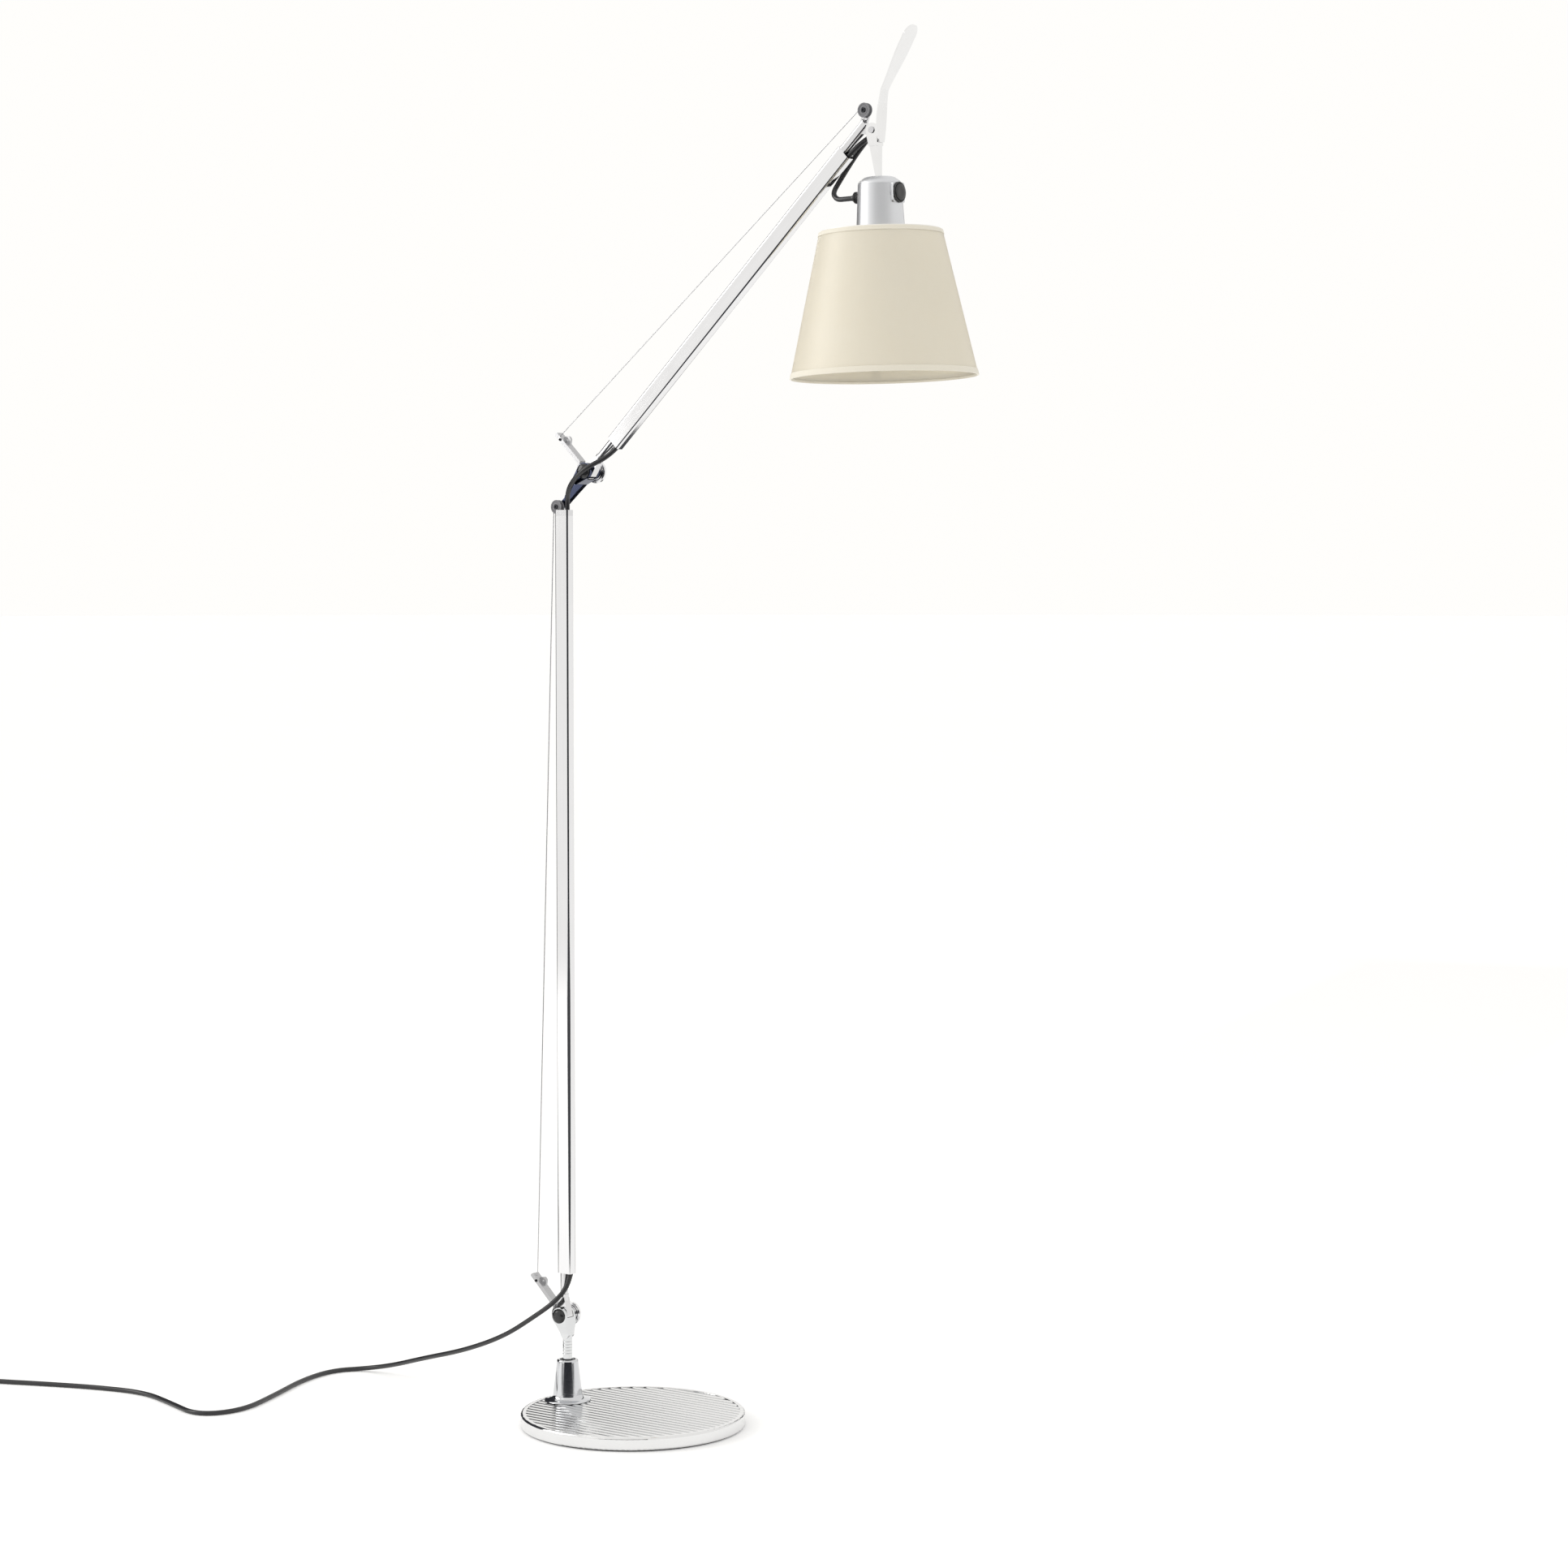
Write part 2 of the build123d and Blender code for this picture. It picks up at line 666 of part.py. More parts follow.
# The link's own frame: the elbow pivot is its origin and the pulley lies down and back from it.
pulley_world = in_world(lower_pivot, lower_lean, lower_pulley_at)
link_end = (pulley_world[0] - elbow_pivot[0], pulley_world[1] - elbow_pivot[1])
link_angle = degrees(atan2(link_end[1], link_end[0])) % 360
link_far = 8.6
with BuildPart() as elbow_link:
    with BuildSketch(side_plane(elbow_pivot, 0)):
        Circle(cheek_radius)
        with Locations(polar(13.5, link_angle)):
            Circle(4.6)
        make_hull()
    extrude(amount=cheek_outer, both=True)
    with BuildSketch(side_plane(elbow_pivot, 0)):
        ring_sector(fork_bore, fork_bore + lever_thickness, lever_foot_end, 225)
    extrude(amount=lever_half, both=True)
    with BuildSketch(side_plane(elbow_pivot, 0, far_y=link_far)):
        with Locations(polar(13.5, link_angle)):
            Circle(4.2)
        with Locations(polar(40, link_angle)):
            Circle(3.8)
        make_hull()
    extrude(amount=link_far - 2.4)
    with BuildSketch(side_plane(elbow_pivot, 0, far_y=link_far)):
        with Locations(polar(30, link_angle)):
            Circle(4)
        with Locations(link_end):
            Circle(4)
        make_hull()
    extrude(amount=link_far - post_far - 2 * slack)
    with BuildSketch(side_plane(elbow_pivot, 0)):
        ring_sector(fork_bore - clear, fork_bore + lever_thickness + slack, lever_angle - 10, lever_foot_end)
    extrude(amount=lever_half + slack, both=True, mode=Mode.SUBTRACT)
    with BuildSketch(side_plane(elbow_pivot, 0)):
        Circle(fork_bore)
    extrude(amount=cheek_inner, both=True, mode=Mode.SUBTRACT)
    with BuildSketch(side_plane(elbow_pivot, 0)):
        Circle(pivot_bolt_radius + slack)
        with Locations(link_end):
            Circle(pulley_screw_radius + slack)
    extrude(amount=20, both=True, mode=Mode.SUBTRACT)
keep(elbow_link, "elbow_link")

keep(make_lever(elbow_pivot), "upper_lever")
keep(make_set_screw(elbow_pivot), "upper_set_screw")
keep(make_pivot_bolt(elbow_pivot), "elbow_bolt")
keep(make_pivot_cap(elbow_pivot), "elbow_cap")
keep(make_washers(elbow_pivot), "elbow_washers")
keep(make_knob(elbow_pivot), "elbow_knob")

# ---------------------------------------------------------------- upper arm

keep(make_tube(elbow_pivot, upper_lean, upper_tube_length), "upper_tube")
keep(make_foot(elbow_pivot, upper_lean), "upper_foot")
keep(make_spring(elbow_pivot, upper_lean, upper_spring_length), "upper_spring")
upper_spring_end = tube_start + plug_length + upper_spring_length
keep(make_wire(elbow_pivot, upper_lean, upper_pulley_at, upper_spring_end), "upper_wire")
keep(make_pulley(elbow_pivot, upper_lean, upper_pulley_at), "upper_pulley")
keep(make_pulley_screw(elbow_pivot, upper_lean, upper_pulley_at, post_far + 0.2), "upper_pulley_screw")

tip_end = 474.5
tip_across = 9.5
tip_at = 1.25
head_at = in_link(elbow_pivot, upper_lean, head_pivot)
with BuildPart() as upper_tip:
    with BuildSketch(end_plane(elbow_pivot, upper_lean, upper_tube_end - plug_length, chamber_at)):
        Rectangle(chamber_across - 0.2, chamber_deep - 0.2)
    extrude(amount=plug_length)
    with BuildSketch(end_plane(elbow_pivot, upper_lean, upper_tube_end, tip_at)):
        RectangleRounded(tip_across, 2 * 4.0, 2.6)
    extrude(amount=tip_end - upper_tube_end)
    with BuildSketch(end_plane(elbow_pivot, upper_lean, upper_tube_end, tip_at)):
        RectangleRounded(tip_across, 2 * 4.6, 2.6)
    extrude(amount=2.2)
    with BuildSketch(side_plane(elbow_pivot, upper_lean)):
        with Locations(head_at):
            Circle(5.0)
        with Locations((3, 469.5)):
            Circle(3.2)
        with Locations((4, 465)):
            Circle(1.6)
        make_hull()
    extrude(amount=head_lug_half, both=True)
    with BuildSketch(side_plane(elbow_pivot, upper_lean, far_y=post_far)):
        with Locations(upper_pulley_at):
            Circle(4.4)
        with Locations((-0.4, 468)):
            Circle(3)
        with Locations((1.5, 460)):
            Circle(2)
        make_hull()
    extrude(amount=post_far - post_half)
    with BuildSketch(end_plane(elbow_pivot, upper_lean, upper_tube_end - plug_length, chamber_at - 2.6)):
        Rectangle(7.0, 2.0)
    extrude(amount=80, mode=Mode.SUBTRACT)
    with BuildSketch(side_plane(elbow_pivot, upper_lean)):
        with Locations(head_at):
            Circle(head_pin_radius + slack)
        with Locations(upper_pulley_at):
            Circle(pulley_screw_radius + slack)
    extrude(amount=20, both=True, mode=Mode.SUBTRACT)
keep(upper_tip, "upper_tip")

# ---------------------------------------------------------------- head

hanger_foot = cap_top - 2.6
with BuildPart() as head_hanger:
    with BuildSketch(side_plane(head_pivot, head_lean)):
        Circle(head_cheek_radius)
        with Locations((3.6, hanger_foot + 1.3)):
            Circle(1.3)
        make_hull()
    extrude(amount=head_cheek_outer, both=True)
    with BuildSketch(side_plane(head_pivot, head_lean)):
        with Locations((0, 1.5)):
            Rectangle(30, 15.4)
    extrude(amount=head_lug_half + clear, both=True, mode=Mode.SUBTRACT)
    for side in (-1, 1):
        with BuildSketch(side_plane(head_pivot, head_lean, far_y=side * 13.5)):
            with Locations((0, -41)):
                Rectangle(30, 52)
        extrude(amount=10, both=True, mode=Mode.SUBTRACT)
    with BuildSketch(side_plane(head_pivot, head_lean)):
        Circle(head_pin_radius + slack)
    extrude(amount=20, both=True, mode=Mode.SUBTRACT)
keep(head_hanger, "head_hanger")

# A strip that stands ahead of the hanger and opens into a paddle above it.
handle_kink = (12.2, 37.7)
handle_tip = (47.5, 94.6)
handle_skin = 1.5
with BuildPart() as head_handle:
    with BuildSketch(side_plane(head_pivot, head_lean)):
        with BuildLine() as side_line:
            stem_arc = ThreePointArc((6.9, -12), (8.0, 14), handle_kink)
            Line(stem_arc @ 1, handle_tip)
        make_face(offset(side_line.edges(), amount=handle_skin, side=Side.RIGHT, mode=Mode.PRIVATE).edges())
    extrude(amount=12, both=True)
    with BuildSketch(Plane.YZ.offset(head_pivot[0])):
        with BuildLine():
            near = Spline(
                (-3.4, head_pivot[1] - 14),
                (-6.5, head_pivot[1] - 2),
                (-7.5, head_pivot[1] + 16),
                (-5.7, head_pivot[1] + 37),
                (-8.6, head_pivot[1] + 62),
                (-9.7, head_pivot[1] + 84),
            )
            end = ThreePointArc(near @ 1, (0, head_pivot[1] + 96), (9.7, head_pivot[1] + 84))
            far = Spline(
                (9.7, head_pivot[1] + 84),
                (8.6, head_pivot[1] + 62),
                (5.7, head_pivot[1] + 37),
                (7.5, head_pivot[1] + 16),
                (6.5, head_pivot[1] - 2),
                (3.4, head_pivot[1] - 14),
            )
            Line(far @ 1, near @ 0)
        make_face()
    extrude(amount=90, both=True, mode=Mode.INTERSECT)
keep(head_handle, "head_handle")

pin_end = 6.3
keep(
    turned(
        side_turning(head_pivot),
        [
            (0, -pin_end),
            (3.2, -pin_end),
            (3.2, -head_cheek_outer - slack),
            (head_pin_radius, -head_cheek_outer - slack),
            (head_pin_radius, head_cheek_outer + slack),
            (3.2, head_cheek_outer + slack),
            (3.2, pin_end),
            (0, pin_end),
        ],
    ),
    "head_pin",
)

# The axis that the lampholder, the bulb and the shade are turned about.
cap_turning = side_plane(head_pivot, head_lean, at=(cap_axis, 0))
boss_face = 22.1
switch_bore = 8.7
grommet_bore = 3.3
with BuildPart() as lampholder_cap:
    with BuildSketch(cap_turning) as cap_profile:
        with BuildLine():
            Polyline(
                (0, cap_top),
                (14.5, cap_top - 1.2),
                (20.8, cap_top - 6),
                (23.3, cap_bottom),
                (0, cap_bottom),
                close=True,
            )
        make_face()
        fillet(cap_profile.vertices().sort_by_distance((20.8, cap_top - 6))[0], 5)
        fillet(cap_profile.vertices().sort_by_distance((14.5, cap_top - 1.2))[0], 5)
    revolve(axis=Axis(cap_turning.origin, cap_turning.y_dir))
    boss_at = in_world(head_pivot, head_lean, (cap_axis + boss_face, switch_level))
    outward = reach_plane(head_pivot, head_lean, (0, 0)).y_dir
    with BuildSketch(Plane(origin=(boss_at[0], 0, boss_at[1]), x_dir=(0, 1, 0), z_dir=outward)):
        RectangleRounded(19, 19, 2)
    extrude(amount=-6)
    with BuildSketch(cap_turning) as hollow_profile:
        with BuildLine():
            Polyline(
                (0, cap_top - cap_wall),
                (14.0, cap_top - 1.2 - cap_wall),
                (20.8 - cap_wall, cap_top - 7),
                (23.3 - cap_wall, cap_bottom),
                (0, cap_bottom),
                close=True,
            )
        make_face()
        fillet(hollow_profile.vertices().sort_by_distance((20.8 - cap_wall, cap_top - 7))[0], 4)
    revolve(axis=Axis(cap_turning.origin, cap_turning.y_dir), mode=Mode.SUBTRACT)
    with BuildSketch(Plane(origin=(boss_at[0], 0, boss_at[1]), x_dir=(0, 1, 0), z_dir=outward)):
        Circle(switch_bore)
    extrude(amount=10, both=True, mode=Mode.SUBTRACT)
    grommet_seat = in_world(head_pivot, head_lean, (cap_axis - 16, grommet_level))
    with BuildSketch(Plane(origin=(grommet_seat[0], 0, grommet_seat[1]), x_dir=(0, 1, 0), z_dir=-outward)):
        Circle(grommet_bore)
    extrude(amount=10, mode=Mode.SUBTRACT)
    with BuildSketch(end_plane(head_pivot, head_lean, cap_top - 5, 3.5)):
        Rectangle(3.2, 7.3)
    extrude(amount=8, mode=Mode.SUBTRACT)
keep(lampholder_cap, "lampholder_cap")

switch_reach = reach_plane(head_pivot, head_lean, (cap_axis, switch_level))
bezel_bore = 8.1
keep(
    turned(
        switch_reach,
        [
            (0, 11),
            (switch_bore - 0.2, 11),
            (switch_bore - 0.2, boss_face + slack),
            (9.9, boss_face + slack),
            (9.9, 23.6),
            (bezel_bore, 23.6),
            (bezel_bore, 14.5),
            (0, 14.5),
        ],
        rounded=[((9.9, 23.6), 0.9)],
    ),
    "switch_bezel",
)
button_radius = bezel_bore - 0.07
keep(
    turned(
        switch_reach,
        [(0, 17), (button_radius, 17), (button_radius, 24.7), (0, 24.7)],
        rounded=[((button_radius, 24.7), 0.8)],
    ),
    "switch_button",
)

cord_nose = 31.5  # from the lampholder's axis to the end of the strain relief
keep(
    turned(
        reach_plane(head_pivot, head_lean, (cap_axis, grommet_level)),
        [
            (0, -16),
            (grommet_bore - 0.1, -16),
            (grommet_bore - 0.1, -21.7),
            (4.4, -21.7),
            (4.4, -26.2),
            (5.8, -26.2),
            (5.8, -28.6),
            (3.4, -29.2),
            (3.0, -cord_nose),
            (0, -cord_nose),
        ],
        rounded=[((5.8, -26.2), 0.6), ((5.8, -28.6), 0.6)],
    ),
    "cord_grommet",
)

keep(
    turned(
        cap_turning,
        [
            (0, -72),
            (18.6, -72),
            (18.6, -94),
            (19.8, -94),
            (19.8, -107),
            (14.4, -107),
            (14.4, -78),
            (0, -78),
        ],
        rounded=[((19.8, -107), 0.8)],
    ),
    "lamp_socket",
)
keep(turned(cap_turning, [(13.6, -79), (14.2, -79), (14.2, -101), (13.6, -101)]), "screw_shell")
keep(
    turned(cap_turning, [(0, -78.3), (5, -78.3), (13.3, -81), (13.3, -99.9), (0, -99.9)]),
    "bulb_cap",
)

glass_neck = -100.0
glass_end = -182.5
glass_radius = 30.2
neck_of_glass = 12.9
with BuildPart() as bulb_glass:
    for inset, mode in ((0.0, Mode.ADD), (1.0, Mode.SUBTRACT)):
        with BuildSketch(cap_turning) as glass_profile:
            with BuildLine():
                Polyline(
                    (0, glass_neck + inset),
                    (neck_of_glass - inset, glass_neck + inset),
                    (neck_of_glass - inset, glass_neck - 12),
                    (glass_radius - inset, glass_neck - 37),
                    (glass_radius - inset, glass_end + inset),
                    (0, glass_end + inset),
                    close=True,
                )
            make_face()
            for corner, bend in (
                ((neck_of_glass, glass_neck - 12), 28),
                ((glass_radius, glass_neck - 37), 42),
                ((glass_radius, glass_end), 28.5),
            ):
                fillet(glass_profile.vertices().sort_by_distance(corner)[0], bend)
        revolve(axis=Axis(cap_turning.origin, cap_turning.y_dir), mode=mode)
keep(bulb_glass, "bulb_glass")

ring_top = cap_bottom - slack
ring_bottom = ring_top - 1.6
ring_plane = end_plane(head_pivot, head_lean, ring_bottom, cap_axis)
with BuildPart() as shade_ring:
    with BuildSketch(ring_plane):
        Circle(25)
        with PolarLocations(37.5, 3, start_angle=30):
            Rectangle(38, 5)
        Circle(20, mode=Mode.SUBTRACT)
    extrude(amount=ring_top - ring_bottom)
    with BuildSketch(ring_plane.offset(-2)):
        Circle(shade_top_radius - shade_skin - 0.1)
        Circle(shade_top_radius - shade_skin - 2.4, mode=Mode.SUBTRACT)
    extrude(amount=ring_top - ring_bottom + 2)
keep(shade_ring, "shade_ring")

nut_top = ring_bottom - slack
keep(
    turned(
        cap_turning,
        [(19.9, nut_top), (24.5, nut_top), (24.5, nut_top - 6.4), (19.9, nut_top - 6.4)],
        rounded=[((24.5, nut_top - 6.4), 1.2)],
    ),
    "shade_nut",
)

keep(
    turned(
        cap_turning,
        [
            (shade_top_radius, shade_top),
            (shade_bottom_radius, shade_bottom),
            (shade_bottom_radius - shade_skin, shade_bottom),
            (shade_top_radius - shade_skin, shade_top),
        ],
    ),
    "shade",
)

flare = (shade_bottom_radius - shade_top_radius) / (shade_top - shade_bottom)
tape = 0.6
with BuildPart() as shade_binding:
    with BuildSketch(cap_turning):
        for level, outward_end, height in ((shade_bottom, -1, 5.5), (shade_top, 1, 3.2)):
            edge = shade_bottom_radius if outward_end < 0 else shade_top_radius
            rise = height * outward_end
            with BuildLine():
                Polyline(
                    (edge - shade_skin, level + slack * outward_end),
                    (edge + slack, level + slack * outward_end),
                    (edge + slack + rise * flare, level - rise),
                    (edge + slack + tape + rise * flare, level - rise),
                    (edge + slack + tape, level + tape * outward_end),
                    (edge - shade_skin, level + tape * outward_end),
                    close=True,
                )
            make_face()
    revolve(axis=Axis(cap_turning.origin, cap_turning.y_dir))
keep(shade_binding, "shade_binding")

# ---------------------------------------------------------------- cords and plug

stand_points = [
    (-82.9, 0, lower_pivot[1] + tube_start),
    (-83.5, -3, 134),
    (-93, -13.5, 118),
    (-118, -17, 100),
    (-160, -17, 74),
    (-222, -9, 50),
    (-292, 5, 30),
    (-350, 19, 12),
    (-392, 22, cord_rest),
    (-415, -8, cord_rest),
    (-411.5, -35, cord_rest),
]
keep(laid_cord(stand_points, name="cord_stand"), "cord_stand")

plug_axis = 6.85
coil_in = (-720.7, -277.7)
coil_out = (-729.3, -280.6)
tail_heading = (-0.804, -0.595)
tail_length = 40.0


def along_tail(distance, height):
    """Point on the straight tail between the coil and the plug."""
    return coil_out[0] + distance * tail_heading[0], coil_out[1] + distance * tail_heading[1], height


floor_points = [
    (-411.5, -35, cord_rest),
    (-408, -62, cord_rest),
    (-382, -130, cord_rest),
    (-360, -200, cord_rest),
    (-384, -242, cord_rest),
    (-440, -222, cord_rest),
    (-500, -203, cord_rest),
    (-560, -216, cord_rest),
    (-622, -240, cord_rest),
    (-672, -262, cord_rest),
    (*coil_in, cord_rest),
]
tail_points = [
    along_tail(0, plug_axis + 1),
    along_tail(12, plug_axis + 1),
    along_tail(28, plug_axis),
    along_tail(tail_length, plug_axis),
]
keep(laid_cord(floor_points, tail_points, name="cord_floor"), "cord_floor")

with BuildPart() as cord_coil:
    with BuildSketch():
        with Locations(coil_centre):
            Circle(coil_turn_radius + coil_bundle / 2)
            Circle(coil_turn_radius - coil_bundle / 2, mode=Mode.SUBTRACT)
    extrude(amount=coil_bundle)
keep(cord_coil, "cord_coil")

plug_plane = Plane(
    origin=along_tail(tail_length, plug_axis),
    x_dir=(tail_heading[1], -tail_heading[0], 0),
    z_dir=(*tail_heading, 0),
)
plug_deep = 36.0
with BuildPart() as plug_body:
    with BuildSketch(plug_plane):
        RectangleRounded(16, 2 * plug_axis, 6)
    with BuildSketch(plug_plane.offset(14)):
        RectangleRounded(26, 2 * plug_axis, 6)
    loft()
    with BuildSketch(plug_plane.offset(14)):
        RectangleRounded(26, 2 * plug_axis, 6)
    extrude(amount=plug_deep - 14)
keep(plug_body, "plug_body")

with BuildPart() as plug_pins:
    with BuildSketch(plug_plane.offset(plug_deep)):
        with Locations((-9.5, 0), (9.5, 0)):
            Circle(2)
    extrude(amount=19)
keep(plug_pins, "plug_pins")

keep(
    laid_cord(
        [
            (-82.9, 0, lower_pivot[1] + lower_tube_end),
            (-82.6, -1, 943),
            (-75, -8, 957),
            (-56, -16.5, 970),
            (-41, -15, 979),
            (-26.7, -2, 988.8),
            (-16.5, 0, 998.4),
        ],
        name="cord_elbow",
    ),
    "cord_elbow",
)


def beside_upper_arm(across, y, along):
    """World point given across, beside and along the upper arm."""
    x, z = in_world(elbow_pivot, upper_lean, (across, along))
    return x, y, z


nose_end = in_world(head_pivot, head_lean, (cap_axis - cord_nose, grommet_level))
before_nose = in_world(head_pivot, head_lean, (cap_axis - cord_nose - 10, grommet_level))
keep(
    laid_cord(
        [
            beside_upper_arm(channel_at, 0, upper_tube_end),
            beside_upper_arm(9.1, 0.6, 450),
            beside_upper_arm(10.3, 4.4, 463),
            beside_upper_arm(5.5, 14.2, 461),
            beside_upper_arm(6.5, 12.8, 444),
            beside_upper_arm(10.5, 9.5, 427),
            beside_upper_arm(14, 7.5, 411.5),
            (247.2, 4.6, 1236.4),
            (254.5, 1.6, 1229.6),
            (before_nose[0], 0, before_nose[1]),
            (nose_end[0], 0, nose_end[1]),
        ],
        name="cord_head",
    ),
    "cord_head",
)
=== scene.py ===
"""Looks of an adjustable arm floor lamp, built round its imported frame.

Every length is in metres, in the frame's own axes: +Z up, +X the way the arms
reach, and the black pivot caps on the near side, -Y.
"""
from __future__ import annotations

import logging
import math
from dataclasses import dataclass
from enum import Enum
from typing import Any, Iterable, Sequence

import bmesh
import bpy
from mathutils import Matrix, Vector


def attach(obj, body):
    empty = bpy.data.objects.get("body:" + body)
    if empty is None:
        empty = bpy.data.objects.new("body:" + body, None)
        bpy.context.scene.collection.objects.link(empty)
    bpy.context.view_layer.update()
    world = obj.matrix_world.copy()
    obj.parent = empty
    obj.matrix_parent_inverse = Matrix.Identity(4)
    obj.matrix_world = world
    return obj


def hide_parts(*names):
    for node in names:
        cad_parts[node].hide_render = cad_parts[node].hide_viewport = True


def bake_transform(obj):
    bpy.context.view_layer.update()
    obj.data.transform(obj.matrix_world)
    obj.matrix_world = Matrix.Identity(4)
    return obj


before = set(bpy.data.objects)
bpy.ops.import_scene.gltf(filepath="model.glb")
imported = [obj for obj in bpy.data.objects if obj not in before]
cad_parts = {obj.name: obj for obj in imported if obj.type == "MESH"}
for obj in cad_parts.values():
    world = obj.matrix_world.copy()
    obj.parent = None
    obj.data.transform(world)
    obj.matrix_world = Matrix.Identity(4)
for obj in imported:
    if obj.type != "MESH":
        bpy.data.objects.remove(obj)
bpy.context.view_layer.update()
LOG = logging.getLogger("lamp")
MM = 0.001
LOOK = "look_"
UPPER_LEAN = 46.43


# ------------------------------------------------------------------ shader maths


class Value:
    """A number or vector in a node tree that takes Python's operators."""

    def __init__(self, sheet: "Sheet", socket: Any) -> None:
        """Wraps an output socket of the sheet's tree."""
        self.sheet = sheet
        self.socket = socket

    def _maths(self, operation: str, first: Any, second: Any = None) -> "Value":
        """Adds a Math node.

        Args:
            operation: the Math node's operation.
            first: its first value or link.
            second: its second value or link, if it has one.

        Returns:
            The node's result.
        """
        inputs = {0: first} if second is None else {0: first, 1: second}
        return self.sheet.node("ShaderNodeMath", {"operation": operation}, inputs)

    def __add__(self, other: Any) -> "Value":
        """self + other."""
        return self._maths("ADD", self, other)

    __radd__ = __add__

    def __sub__(self, other: Any) -> "Value":
        """self - other."""
        return self._maths("SUBTRACT", self, other)

    def __rsub__(self, other: Any) -> "Value":
        """other - self."""
        return self._maths("SUBTRACT", other, self)

    def __mul__(self, other: Any) -> "Value":
        """self * other."""
        return self._maths("MULTIPLY", self, other)

    __rmul__ = __mul__

    def __pow__(self, other: Any) -> "Value":
        """self to the power of other."""
        return self._maths("POWER", self, other)

    def sine(self) -> "Value":
        """Sine of the value."""
        return self._maths("SINE", self)

    def clamped(self) -> "Value":
        """The value held between 0 and 1."""
        return self.sheet.node("ShaderNodeClamp", {}, {"Value": self})


class Sheet:
    """One material's node tree, ending in a Principled shader."""

    def __init__(self, name: str) -> None:
        """Starts an empty material with that name."""
        self.material = bpy.data.materials.new(LOOK + name)
        self.material.use_nodes = True
        self.tree = self.material.node_tree
        self.tree.nodes.clear()

    def node(self, kind: str, settings: dict[str, Any], inputs: dict[Any, Any], output: Any = 0) -> Value:
        """Adds any node.

        Args:
            kind: the node's type name.
            settings: properties set before its sockets; "stops" sets a ramp's stops.
            inputs: values or links by socket name or number.
            output: which output is given back.

        Returns:
            That output.
        """
        made = self.tree.nodes.new(kind)
        for key, value in settings.items():
            if key == "stops":
                ramp = made.color_ramp
                while len(ramp.elements) < len(value):
                    ramp.elements.new(0.5)
                for element, (place, colour) in zip(ramp.elements, value):
                    element.position = place
                    element.color = (*colour, 1.0)
            else:
                setattr(made, key, value)
        for key, value in inputs.items():
            socket = made.inputs[key]
            if isinstance(value, Value):
                self.tree.links.new(value.socket, socket)
            else:
                socket.default_value = value
        return Value(self, made.outputs[output])

    def place(self) -> Value:
        """Object coordinates, in metres of the frame."""
        return self.node("ShaderNodeTexCoord", {}, {}, "Object")

    def stretched(self, scale: Sequence[float], turn: Sequence[float] = (0.0, 0.0, 0.0)) -> Value:
        """Object coordinates turned, then scaled, each axis on its own."""
        turned = self.node(
            "ShaderNodeMapping", {"vector_type": "POINT"}, {"Vector": self.place(), "Rotation": tuple(turn)}
        )
        scaled = {"Vector": turned, "Scale": tuple(scale)}
        return self.node("ShaderNodeMapping", {"vector_type": "POINT"}, scaled)

    def noise(self, where: Value, scale: float, detail: float = 3.0, roughness: float = 0.5) -> Value:
        """Fractal noise from 0 to 1."""
        return self.node(
            "ShaderNodeTexNoise",
            {},
            {"Vector": where, "Scale": scale, "Detail": detail, "Roughness": roughness},
            "Fac",
        )

    def blend(self, share: Value, first: Sequence[float], second: Sequence[float]) -> Value:
        """Colour between two, by a share from 0 to 1."""
        return self.node(
            "ShaderNodeMix",
            {"data_type": "RGBA"},
            {0: share, 6: (*first, 1.0), 7: (*second, 1.0)},
            2,
        )

    def relief(self, height: Value, distance: float, strength: float = 1.0) -> Value:
        """Bumped normal from a height."""
        return self.node(
            "ShaderNodeBump", {}, {"Height": height, "Distance": distance, "Strength": strength}, "Normal"
        )

    def finish(self, sockets: dict[str, Any]) -> Value:
        """Adds the Principled shader with those sockets and links it to the output."""
        shader = self.node("ShaderNodeBsdfPrincipled", {}, sockets)
        self.output(shader)
        return shader

    def output(self, shader: Value) -> None:
        """Links a shader to the material's output."""
        ends = [n for n in self.tree.nodes if n.type == "OUTPUT_MATERIAL"]
        end = ends[0] if ends else self.tree.nodes.new("ShaderNodeOutputMaterial")
        self.tree.links.new(shader.socket, end.inputs["Surface"])


# ------------------------------------------------------------------ finishes


def even(scale: float) -> tuple[float, float, float]:
    """The same grain along all three axes."""
    return (scale, scale, scale)


@dataclass(frozen=True)
class Metal:
    """Bare or plated metal with drawn or turned tool lines and a little handling haze.

    grain is the noise scale along each axis: small along the lines, large across them.
    """

    name: str
    colour: tuple[float, float, float]
    roughness: float = 0.15
    spread: float = 0.08
    grain: tuple[float, float, float] = (60.0, 60.0, 60.0)
    turn: tuple[float, float, float] = (0.0, 0.0, 0.0)
    depth: float = 0.00001

    def material(self) -> bpy.types.Material:
        """Builds the material."""
        sheet = Sheet(self.name)
        lines = sheet.noise(sheet.stretched(self.grain, self.turn), 1.0, 4.0, 0.62)
        haze = sheet.noise(sheet.place(), 22.0, 2.0)
        wear = sheet.noise(sheet.place(), 140.0, 5.0, 0.7)
        dull = tuple(c * 0.9 for c in self.colour)
        shade = (lines * 0.5 + haze * 0.5).clamped()
        sheet.finish(
            {
                "Base Color": sheet.blend(shade, dull, self.colour),
                "Metallic": 1.0,
                "Roughness": (
                    self.roughness + (lines - 0.5) * self.spread
                    + (haze - 0.5) * (self.spread * 0.6) + wear * 0.02
                ).clamped(),
                "Normal": sheet.relief(lines + wear * 0.3, self.depth),
            }
        )
        return sheet.material


